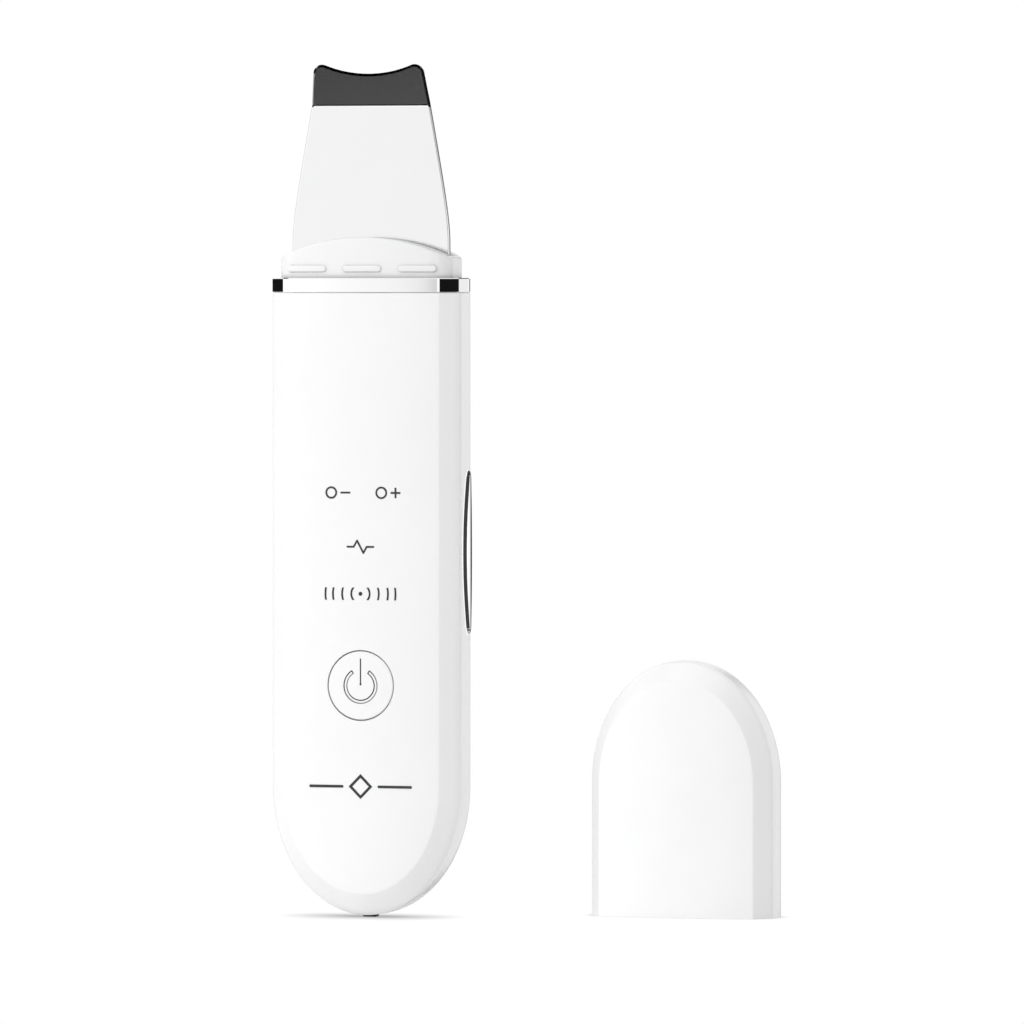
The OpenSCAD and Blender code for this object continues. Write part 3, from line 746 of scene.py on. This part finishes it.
def electrode(side):
    """A domed chrome lens that wraps from the side band into the rear corner."""
    half_l = (lens_high[2] - lens_low[2]) / 2
    mid_z = (lens_high[2] + lens_low[2]) / 2
    half_w, mid_y = 3.4, 1.5
    lens_l = half_l * 1.35
    r = (lens_l ** 2 + half_w ** 2) / (2 * half_w)

    def skin_x(y):
        """The casing's x at a depth y."""
        if y <= REAR:
            return W - DRAW_IN * (max(0.0, y - SIDE_END) / (REAR - SIDE_END)) ** 2
        k = min(1.0, (y - REAR) / (D - REAR))
        return W - DRAW_IN - (REAR_ROUND - DRAW_IN) * (1 - math.sqrt(1 - k * k))

    # Height over the casing, by distance from the strip's front edge: flat lip, broad bevel, shallow crown.
    section = [(0, 0.0), (0.05, 0.02), (0.62, 0.05), (2.2, 0.38), (9, 0.6)]

    def height(d):
        for (d0, h0), (d1, h1) in zip(section, section[1:]):
            if d <= d1:
                return h0 + (h1 - h0) * (d - d0) / (d1 - d0)
        return 0.0

    rows = []
    n, m = 120, 56
    blunt = 1.6  # radius of the lens's ends
    ridge, rear_slope, wall_slope = 2.8, 0.194, 1.1
    sunk = 0.015
    for i in range(n + 1):
        z = -half_l * math.cos(math.pi * i / n)
        past = max(0.0, abs(z) - half_l + blunt)
        half = math.sqrt(r * r - z * z) - (r - half_w)
        if past:
            half = min(half, math.sqrt(max(0.0, blunt ** 2 - past ** 2)))
        half = max(0.02, half)
        centre = mid_y + 0.8 * (z / half_l) ** 2
        top = W + height(ridge - centre + half)
        row = []
        for j in range(m + 1):
            v = -math.cos(math.pi * j / m)
            y = centre + half * v
            d = y - centre + half
            x = skin_x(y) + height(d) if y < ridge else top - rear_slope * (y - ridge)
            wall = half * (1 - abs(v)) if v > 0 else 9.0
            if past:
                wall = min(wall, blunt - math.hypot(y - centre, past))
            x = min(x, skin_x(y) + wall_slope * max(0.0, wall)) - sunk
            row.append((side * x, y, mid_z + z))
        rows.append(row)
    mesh = ([], [])
    grid(mesh, rows)
    name = "electrode_right" if side > 0 else "electrode_left"
    obj = piece(name + "_looks", mesh, "handle", [name], "chrome_electrode", (0, mid_y, mid_z))
    solidify(obj, 0.4)
    bake(obj, 8)


# ---- Port plug and cap ----


def soft_block(name, x, depth, z0, z1, soft):
    """A rubber block with rounded edges, in the middle of the port."""
    y0, y1 = PORT_Y - depth / 2, PORT_Y + depth / 2
    mesh = ([], [])
    low = [(-x, y0, z0), (x, y0, z0), (x, y1, z0), (-x, y1, z0)]
    high = [(px, py, z1) for px, py, pz in low]
    grid(mesh, [low, high], wrap=True)
    mesh[1].extend([(0, 1, 2, 3), (4, 5, 6, 7)])
    obj = piece(name, mesh, "port_plug", [], "plug_rubber", (0, PORT_Y, (z0 + z1) / 2))
    round_edges(obj, soft, 4, 30)
    bake(obj, 60)


def port_plug():
    """A rubber plug: stadium head with a soft lip, a rounded pull tab and a tongue that grips the port."""
    mesh = ([], [])
    z0, z1 = BASE + 0.6, 1.85
    rows = []
    for inset, z in ((0.5, z0), (0.15, z0 + 0.04), (0.0, z0 + 0.2), (0, z1 - 0.12), (0.12, z1)):
        rows.append([(x, y + PORT_Y, z) for x, y in stadium(8.6 - 2 * inset, 3.4 - 2 * inset)])
    grid(mesh, rows, wrap=True)
    fan(mesh, rows[0], (0, PORT_Y, z0))
    fan(mesh, rows[-1], (0, PORT_Y, z1))
    head = piece("port_plug_head", mesh, "port_plug", ["port_plug"], "plug_rubber")
    bake(head, 60)
    soft_block("port_plug_tab", 1.55, 2.1, 0.0, z0 + 0.1, 0.15)
    soft_block("port_plug_tongue", 3.35, 1.7, 1.75, plug_high[2], 0.2)


def cap():
    """The cap, standing on its open end beside the handle."""
    shape = Pebble(CAP_W, D, -CAP_RISE, CAP_H - CAP_RISE, 0.0, CAP_BEVEL, CAP_BEVEL_Z, CAP_SAG)
    mesh = ([], [])
    face = shape.face_rows(1 + CAP_SOFT / CAP_BEVEL)
    grid(mesh, face, wrap=True)
    fan(mesh, face[-1], (0, -D, shape.centre))
    profile = shape.front(CAP_BAND, 0.05, CAP_SOFT, 0.9, 0.4, 72, 0.0)
    profile.append((0, 0, CAP_BAND))
    profile += rear_corner(CAP_BAND, 0.0, CAP_ROUND, CAP_ROUND_Z)
    grid(mesh, shape.strip(profile))
    flat_back(mesh, shape.line(CAP_ROUND, CAP_ROUND_Z) + closing(CAP_W - CAP_ROUND, 0.0), shape.centre)
    moved = [(x + CAP_X, y + CAP_Y, z) for x, y, z in mesh[0]]
    obj = piece("cap_looks", (moved, mesh[1]), "cap", ["cap"], "white_cap", (CAP_X, CAP_Y, 25))
    solidify(obj, CAP_T)
    bake(obj, 20)


# ---- Materials ----


def feed(tree, socket, value):
    """Gives an input a value, or a link from another node's output."""
    if isinstance(value, bpy.types.NodeSocket):
        tree.links.new(value, socket)
    else:
        socket.default_value = value


def add(tree, kind, **inputs):
    """Adds a shader node, with values or links for its named inputs."""
    node = tree.nodes.new("ShaderNode" + kind)
    for key, value in inputs.items():
        feed(tree, node.inputs[key.replace("_", " ")], value)
    return node


def maths(tree, operation, a, b=None):
    node = tree.nodes.new("ShaderNodeMath")
    node.operation = operation
    feed(tree, node.inputs[0], a)
    if b is not None:
        feed(tree, node.inputs[1], b)
    return node.outputs[0]


def mixed(tree, a, b, factor=1.0, mode="MIX"):
    """A blend of two colours."""
    node = tree.nodes.new("ShaderNodeMix")
    node.data_type = "RGBA"
    node.blend_type = mode
    for key, value in (("A", a), ("B", b), ("Factor", factor)):
        feed(tree, node.inputs[key], value)
    return node.outputs["Result"]


def shade(tree, factor, dark, light):
    return mixed(tree, (*dark, 1), (*light, 1), factor)


def place(tree, stretch=(1, 1, 1)):
    """Object coordinates in millimetres, stretched along an axis for grain."""
    coords = add(tree, "TexCoord").outputs["Object"]
    return add(tree, "Mapping", Vector=coords, Scale=[1000 * s for s in stretch]).outputs["Vector"]


def noise(tree, vector, scale, detail=3.0, rough=0.5):
    return add(tree, "TexNoise", Vector=vector, Scale=scale, Detail=detail, Roughness=rough).outputs["Fac"]


def spread(tree, value, low, high, from_low=0.3, from_high=0.7):
    """Maps a value onto low to high."""
    node = add(tree, "MapRange", Value=value, From_Min=from_low, From_Max=from_high, To_Min=low, To_Max=high)
    return node.outputs["Result"]


def across(tree, x0, x1, low=0, high=1):
    """Low to high from x = x0 to x1, in millimetres."""
    split = add(tree, "SeparateXYZ", Vector=add(tree, "TexCoord").outputs["Object"])
    return spread(tree, split.outputs["X"], low, high, x0 / 1000, x1 / 1000)


def new_material(name):
    mat = bpy.data.materials.new(name)
    mat.use_nodes = True
    return mat, mat.node_tree


def dress(tree, colour, rough, height, depth, metallic=0.0):
    """Feeds the surface its colour, roughness and bump, with the bump's depth in millimetres."""
    surface = tree.nodes["Principled BSDF"]
    grain = add(tree, "Bump", Height=height, Strength=1.0, Distance=depth / 1000).outputs["Normal"]
    feed(tree, surface.inputs["Base Color"], colour)
    feed(tree, surface.inputs["Roughness"], rough)
    feed(tree, surface.inputs["Normal"], grain)
    feed(tree, surface.inputs["Metallic"], metallic)


def finish(name, dark, light, rough, grain=0.2, depth=0.002, stretch=(1, 1, 1), metallic=0.0):
    """A material with fine grain: colour, roughness and bump all come from noise in real millimetres."""
    mat, tree = new_material(name)
    fine = noise(tree, place(tree, stretch), 1 / grain, 4.0)
    broad = noise(tree, place(tree), 0.02, 2.0)
    colour = shade(tree, spread(tree, broad, 0, 1), dark, light)
    dress(tree, colour, spread(tree, fine, rough[0], rough[1]), fine, depth, metallic)
    return mat


def metal(name, dark, light, rough, grain=0.2, depth=0.002, stretch=(1, 1, 1)):
    return finish(name, dark, light, rough, grain, depth, stretch, 1.0)


def plastic(name, centre, half, left, right, crease_shade=0.0):
    """White moulded plastic: painted shade that deepens it towards the right, painted shade in its creases
    where a crease share is given, fine moulding grain, soft gloss.
    """
    mat, tree = new_material(name)
    drift = spread(tree, noise(tree, place(tree), 0.05, 2.0), -0.06, 0.06)
    # Painted shade: the colour runs from the lit tone on the left to the shaded tone on the right across the
    # width.
    colour = shade(tree, maths(tree, "ADD", across(tree, centre - half, centre + half), drift), left, right)
    if crease_shade:
        # Painted shade: the colour is darkened where ambient occlusion finds nearby surfaces, in creases and
        # between parts.
        near = add(tree, "AmbientOcclusion", Distance=0.0012)
        near.samples = 8
        open_share = spread(tree, near.outputs["AO"], 1 - crease_shade, 1, 0.35, 0.95)
        colour = mixed(tree, colour, open_share, mode="MULTIPLY")
    fine = noise(tree, place(tree), 2.2, 4.0)
    dress(tree, colour, spread(tree, fine, 0.2, 0.26), fine, 0.0012)
    return mat


def brushed(name):
    """Polished stainless steel with a fine grain along the blade."""
    mat, tree = new_material(name)
    lines = noise(tree, place(tree, (9, 9, 0.12)), 1.0, 5.0, 0.6)
    cloud = spread(tree, noise(tree, place(tree), 0.12, 3.0), 0, 1)
    colour = shade(tree, cloud, (0.885, 0.885, 0.887), (0.893, 0.893, 0.895))
    dress(tree, colour, spread(tree, lines, 0.09, 0.14), lines, 0.00025, 1.0)
    return mat


def chrome(name):
    """Bright plating on the trim ring, with painted shade that deepens it towards its right-hand end."""
    mat, tree = new_material(name)
    # Painted shade: the plating's colour is bright on the left and darker towards the right.
    colour = shade(tree, across(tree, -9, 13), (0.975, 0.975, 0.975), (0.895, 0.895, 0.9))
    fine = noise(tree, place(tree), 1.6, 4.0)
    dress(tree, colour, spread(tree, fine, 0.03, 0.05), fine, 0.0002, 1.0)
    return mat


def shaded_ink_line(name, angle, dark, pale):
    """The symbol's fine printed line, with painted shade: darkest towards one direction round the ring, paler
    on the other side.
    """
    mat, tree = new_material(name)
    split = add(tree, "SeparateXYZ", Vector=add(tree, "TexCoord").outputs["Object"])
    up = maths(tree, "SUBTRACT", split.outputs["Z"], ICON_Z / 1000)
    a = math.radians(angle)
    along = maths(tree, "ADD", maths(tree, "MULTIPLY", split.outputs["X"], 1000 * math.cos(a)),
                  maths(tree, "MULTIPLY", up, 1000 * math.sin(a)))
    grain = noise(tree, place(tree), 4.0)
    # Painted shade: the printed line darkens towards one side, the outer ring to the upper left and the inner
    # ring to the lower right.
    share = maths(tree, "ADD", spread(tree, along, 0, 1, -3.6, 2.6), spread(tree, grain, -0.05, 0.05))
    colour = shade(tree, share, pale, dark)
    dress(tree, colour, spread(tree, grain, 0.45, 0.6), grain, 0.001)
    return mat


# Painted shade: each white plastic has a lit left-hand tone and a darker, shaded right-hand tone.
WHITE_LIT, WHITE_SHADED = (0.925, 0.925, 0.925), (0.82, 0.82, 0.823)
looks = {
    "white_shell": plastic("shell_plastic", 0, 19, WHITE_LIT, WHITE_SHADED),
    "white_button": plastic("button_plastic", 0, 19, WHITE_LIT, WHITE_SHADED),
    "white_neck": plastic("neck_plastic", 0, 20, (0.9, 0.9, 0.9), (0.765, 0.765, 0.77), crease_shade=0.45),
    "white_cap": plastic("cap_plastic", CAP_X, 21.6, (0.98, 0.98, 0.98), (0.81, 0.81, 0.815)),
    "chrome_trim": chrome("trim_chrome"),
    "chrome_electrode": metal(
        "electrode_chrome", (0.93, 0.93, 0.935), (0.96, 0.96, 0.96), (0.05, 0.08), 0.6, 0.0003),
    "stainless_blade": brushed("blade_steel"),
    "gasket_silicone": finish(
        "gasket_silicone", (0.62, 0.63, 0.64), (0.7, 0.7, 0.71), (0.5, 0.65), 0.3, 0.01),
    "seal_silicone": finish("seal_silicone", (0.52, 0.52, 0.53), (0.62, 0.62, 0.63), (0.5, 0.62), 0.3, 0.01),
    "damping_silicone": finish(
        "damping_silicone", (0.12, 0.12, 0.13), (0.2, 0.2, 0.21), (0.55, 0.7), 0.3, 0.02),
    "plug_rubber": finish(
        "plug_rubber", (0.012, 0.012, 0.013), (0.028, 0.028, 0.03), (0.5, 0.68), 0.18, 0.008),
    "steel_small": metal("screw_steel", (0.55, 0.56, 0.57), (0.68, 0.68, 0.69), (0.22, 0.34), 0.15),
    "steel_mass": metal(
        "turned_steel", (0.5, 0.51, 0.52), (0.6, 0.6, 0.61), (0.25, 0.4), 0.25, 0.004, (0.3, 0.3, 4)),
    "switch_steel": metal("switch_steel", (0.6, 0.6, 0.6), (0.7, 0.7, 0.7), (0.25, 0.35)),
    "port_steel": metal(
        "port_steel", (0.66, 0.66, 0.67), (0.76, 0.76, 0.76), (0.2, 0.3), 0.2, 0.002, (4, 1, 0.4)),
    "horn_alloy": metal(
        "horn_alloy", (0.7, 0.71, 0.73), (0.8, 0.8, 0.82), (0.25, 0.38), 0.25, 0.004, (0.3, 0.3, 4)),
    "piezo_ceramic": finish("piezo_ceramic", (0.5, 0.48, 0.42), (0.62, 0.6, 0.54), (0.55, 0.7), 0.25, 0.01),
    "brass_contact": metal("brass_contact", (0.72, 0.55, 0.26), (0.85, 0.68, 0.36), (0.22, 0.34)),
    "lead_insulation": finish(
        "lead_insulation", (0.5, 0.03, 0.025), (0.62, 0.05, 0.04), (0.4, 0.5), 0.2, 0.003),
    "print_black": finish("printed_ink", (0.03, 0.03, 0.032), (0.055, 0.055, 0.058), (0.4, 0.55), 0.12),
    "black_plastic": finish(
        "black_plastic", (0.015, 0.015, 0.016), (0.03, 0.03, 0.032), (0.35, 0.5), 0.25, 0.004),
    "clear_guide": finish("light_guide", (0.8, 0.82, 0.84), (0.88, 0.89, 0.9), (0.15, 0.25), 0.4),
    "led_lens": finish("lamp_lens", (0.75, 0.78, 0.7), (0.86, 0.88, 0.8), (0.15, 0.25), 0.3),
    "board_green": finish("board_laminate", (0.01, 0.12, 0.05), (0.02, 0.19, 0.08), (0.3, 0.45), 0.35, 0.01),
    "ferrite_core": finish("ferrite", (0.05, 0.05, 0.055), (0.09, 0.09, 0.095), (0.6, 0.75), 0.2, 0.015),
    "cell_can": finish("cell_wrap", (0.1, 0.25, 0.5), (0.14, 0.32, 0.6), (0.28, 0.4), 0.6, 0.01),
    "foam_pad": finish("foam", (0.08, 0.08, 0.085), (0.16, 0.16, 0.17), (0.85, 0.95), 0.35, 0.12),
}
# Printed grey lines with painted shade, darker towards the upper left on the outer ring and towards the lower
# right on the inner ring.
outer_ink_and_shade = shaded_ink_line("icon_outer_ink", 135, (0.02, 0.02, 0.022), (0.27, 0.27, 0.27))
inner_ink_and_shade = shaded_ink_line("icon_inner_ink", -45, (0.012, 0.012, 0.013), (0.27, 0.27, 0.27))
looks["icon_grey"] = outer_ink_and_shade

# ---- Build the looks ----

front_cover()
rear_shell()
trim_ring()
neck_collar()
neck_ribs()
spatula()
button_face()
electrode(1)
electrode(-1)
port_plug()
cap()
icon_inner, icon_bar = icon()

for obj in list(bpy.context.scene.objects):
    if obj.type == "MESH" and "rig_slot" in obj:
        obj.data.materials.clear()
        obj.data.materials.append(looks[obj["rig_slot"]])
icon_inner.data.materials[0] = inner_ink_and_shade
icon_bar.data.materials[0] = looks["print_black"]

# The nodes whose CAD meshes are shown as they are, with the look of each.
INNER_SLOTS = {
    "housing_gasket": "gasket_silicone", "blade_seal": "seal_silicone", "blade_clamp": "steel_small",
    "blade_screws": "steel_small", "transducer_horn": "horn_alloy", "piezo_rings": "piezo_ceramic",
    "contact_lugs": "brass_contact", "back_mass": "steel_mass", "transducer_bolt": "steel_small",
    "damping_rings": "damping_silicone", "transducer_leads": "lead_insulation", "switch_body": "switch_steel",
    "switch_plunger": "black_plastic", "mode_marks": "print_black", "front_mark": "print_black",
    "light_guide": "clear_guide", "mode_leds": "led_lens", "main_board": "board_green",
    "board_screws": "steel_small", "board_chips": "black_plastic", "driver_transformer": "ferrite_core",
    "battery": "cell_can", "battery_pad": "foam_pad", "battery_leads": "lead_insulation",
    "electrode_springs": "brass_contact", "charging_port": "port_steel", "port_tongue": "black_plastic",
}
for name, slot in INNER_SLOTS.items():
    obj = frame["nodes"][name]
    if not obj.material_slots:
        obj.data.materials.append(None)
    for material_slot in obj.material_slots:
        material_slot.material = looks[slot]
    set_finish(obj, slot)
    if slot != "print_black":
        round_edges(obj, 0.04, 1, 50)

# ---- Studio ----

KEY_TURN, KEY_RISE = math.radians(-25), math.radians(6)
KEY = Vector((math.sin(KEY_TURN) * math.cos(KEY_RISE),
              -math.cos(KEY_TURN) * math.cos(KEY_RISE),
              math.sin(KEY_RISE)))
KEY_GAIN, KEY_BASE = 0.71, 0.868  # how much the broad light varies round the object, and its middle


def studio_world():
    """Plain white for the camera, a broad soft light on matt surfaces, panels in reflections."""
    world = bpy.data.worlds.new("studio")
    bpy.context.scene.world = world
    world.use_nodes = True
    world.cycles.sampling_method = "NONE"
    tree = world.node_tree
    tree.nodes.clear()
    coords = add(tree, "TexCoord").outputs["Generated"]
    x, y, z = add(tree, "SeparateXYZ", Vector=coords).outputs
    azimuth = maths(tree, "ARCTAN2", x, maths(tree, "MULTIPLY", y, -1.0))
    level = maths(tree, "ARCSINE", z)

    def ramp(value, stops):
        """A curve over degrees, given as (degrees, brightness)."""
        low, high = stops[0][0], stops[-1][0]
        past = maths(tree, "SUBTRACT", value, math.radians(low))
        node = add(tree, "ValToRGB", Fac=maths(tree, "MULTIPLY", past, 1 / math.radians(high - low)))
        elements = node.color_ramp.elements
        while len(elements) > 1:
            elements.remove(elements[-1])
        elements[0].position = 0
        for i, (degrees, tone) in enumerate(stops):
            element = elements.new((degrees - low) / (high - low)) if i else elements[0]
            element.color = (tone, tone, tone, 1)
        return node.outputs["Color"]

    def blend(mode, a, b, factor=1.0):
        return mixed(tree, a, b, factor, mode)

    # Panels round the object, by azimuth: what its upright surfaces reflect.
    dark = 0.008
    round_map = ramp(azimuth, [
        (-180, 0.08), (-175, 0.08), (-171, 0.95), (-150, 0.9), (-140, 0.5), (-128, dark), (-70, dark),
        (-62, 1.08), (-24, 1.08), (-20, 1.0), (-16, 0.93), (-13, 0.78), (-10, 0.6), (35, dark), (84, dark),
        (92, 0.3), (102, 0.3), (114, 0.05), (145, 0.05), (150, 1.15), (157, 1.15), (160, 0.93), (164, 0.95),
        (168, 1.05), (176, 1.05), (178, 0.08), (180, 0.08),
    ])
    # How high the panels reach: in front, where the bent tip reflects; all round; and behind.
    bend_level = ramp(level, [
        (-90, 0.2), (-24.2, 0.2), (-23.6, 0.0), (-12.5, 0.0), (-11, 1.15), (-3.5, 1.15), (-1.5, 1.0),
        (18, 1.0), (28, 0.0), (90, 0.0),
    ])
    open_level = ramp(level, [(-90, 0.9), (-60, 1.0), (18, 1.0), (28, 0.0), (90, 0.0)])
    away = ramp(azimuth, [(-180, 1), (-44, 1), (-34, 0), (-6, 0), (4, 1), (180, 1)])
    back_level = ramp(level, [(-90, 0.9), (-60, 1.0), (50, 1.0), (60, 0.0), (90, 0.0)])
    behind = ramp(azimuth, [(-180, 1), (-155, 1), (-145, 0), (145, 0), (152, 1), (180, 1)])
    levels = blend("MIX", blend("MIX", bend_level, open_level, away), back_level, behind)
    # A dimmer stretch behind, which gives the left-hand outline.
    edge = blend(
        "LIGHTEN",
        ramp(azimuth, [(-180, 1), (-176, 1), (-174, 0.15), (-150, 0.15), (-146, 1), (180, 1)]),
        ramp(level, [(-90, 1), (-8, 1), (-6, 0.15), (-0.4, 0.15), (0.4, 1), (90, 1)]),
    )
    glossy = blend("MULTIPLY", blend("MULTIPLY", round_map, levels), edge)
    # Bright panels: one in front, one high and one low behind on the left, and the floor and ceiling.
    strip = blend(
        "MULTIPLY",
        ramp(azimuth, [(-180, 0), (5, 0), (8, 1.1), (25, 1.1), (29, 0), (180, 0)]),
        ramp(level, [(-90, 0), (-7, 0), (-5, 1), (5, 1), (8, 0), (90, 0)]),
    )
    corner = blend(
        "MULTIPLY",
        ramp(azimuth, [(-180, 0), (-142, 0), (-138, 1), (-120, 1), (-116, 0), (180, 0)]),
        ramp(level, [
            (-90, 0), (-50, 0), (-44, 1), (-28, 1), (-24, 0), (24, 0), (28, 1), (44, 1), (50, 0), (90, 0),
        ]),
    )
    roof = ramp(level, [(-90, 0.95), (-66, 0.95), (-62, 0), (62, 0), (66, 0.95), (90, 0.95)])
    # Two low grey panels that upright steel reflects when the camera looks down on it.
    low = blend(
        "MULTIPLY",
        ramp(azimuth, [(-180, 0), (-134, 0), (-126, 0.5), (-72, 0.4), (-64, 0), (106, 0), (114, 0.42),
                       (146, 0.5), (150, 0), (180, 0)]),
        ramp(level, [(-90, 0.7), (-20, 0.85), (-7.5, 1), (-5.5, 0), (90, 0)]),
    )
    lit = blend("LIGHTEN", blend("LIGHTEN", glossy, strip), blend("LIGHTEN", corner, roof))
    lit = blend("LIGHTEN", lit, low)

    key = tree.nodes.new("ShaderNodeVectorMath")
    key.operation = "DOT_PRODUCT"
    feed(tree, key.inputs[0], coords)
    feed(tree, key.inputs[1], KEY)
    soft = maths(tree, "ADD", maths(tree, "MULTIPLY", key.outputs["Value"], KEY_GAIN), KEY_BASE)

    # Glossy rays see the panels, the camera sees white, and all others the broad light.
    path = add(tree, "LightPath").outputs
    tone = mixed(tree, soft, lit, path["Is Glossy Ray"])
    seen = mixed(tree, tone, (1, 1, 1, 1), path["Is Camera Ray"])
    add(tree, "OutputWorld", Surface=add(tree, "Background", Color=seen).outputs["Background"])


def rim_light(name, turn, power):
    """A soft light behind the object that brightens the side it faces."""
    data = bpy.data.lights.new(name, "AREA")
    data.shape = "RECTANGLE"
    data.size = data.size_y = 0.7
    data.energy = power
    light = bpy.data.objects.new(name, data)
    bpy.context.scene.collection.objects.link(light)
    angle = math.radians(turn)
    away = 1.2
    spot = Vector((math.sin(angle) * away, -math.cos(angle) * away, 0.25))
    light.location = spot
    light.rotation_euler = (Vector((0, 0, 0.1)) - spot).to_track_quat("-Z", "Y").to_euler()
    light.visible_glossy = False
    light.visible_camera = False


def studio_floor():
    """White paper that shows the camera only a soft contact shadow, wider under the handle's round end."""
    size = 6.0
    mesh = bpy.data.meshes.new("floor")
    corners = [(-size, -size, 0), (size, -size, 0), (size, size, 0), (-size, size, 0)]
    mesh.from_pydata(corners, [], [(0, 1, 2, 3)])
    floor = bpy.data.objects.new("floor", mesh)
    bpy.context.scene.collection.objects.link(floor)
    floor.visible_glossy = False
    mat, tree = new_material("floor_paper")
    tree.nodes.clear()
    shadow = add(tree, "AmbientOcclusion", Distance=across(tree, 28, 40, 0.011, 0.003))
    shadow.samples = 16
    fade = spread(tree, shadow.outputs["AO"], 0.45, 1.0, 0.1, 0.92)
    seen = add(tree, "Emission", Color=fade).outputs["Emission"]
    paper = add(tree, "BsdfDiffuse", Color=(0.86, 0.86, 0.86, 1)).outputs["BSDF"]
    mix = add(tree, "MixShader", Fac=add(tree, "LightPath").outputs["Is Camera Ray"])
    feed(tree, mix.inputs[1], paper)
    feed(tree, mix.inputs[2], seen)
    add(tree, "OutputMaterial", Surface=mix.outputs["Shader"])
    mesh.materials.append(mat)


def camera():
    """A long lens to the right of straight on, just above the handle's middle."""
    turn = math.radians(19.3)
    middle = Vector((0.02997, 0.01049, 0.0915))
    away, height = 2.5, 0.1462
    place_at = Vector((middle.x + away * math.sin(turn), middle.y - away * math.cos(turn), height))
    data = bpy.data.cameras.new("view")
    data.lens = 388.9
    data.sensor_width = 36
    data.clip_start = 0.05
    data.clip_end = 50
    obj = bpy.data.objects.new("view", data)
    bpy.context.scene.collection.objects.link(obj)
    obj.location = place_at
    obj.rotation_euler = (middle - place_at).to_track_quat("-Z", "Y").to_euler()
    bpy.context.scene.camera = obj


studio_world()
rim_light("rim_right", 145, 4.3)
rim_light("rim_left", -112, 3.8)
studio_floor()
camera()
bpy.context.scene.view_settings.view_transform = "Standard"
bpy.context.scene.view_settings.look = "None"
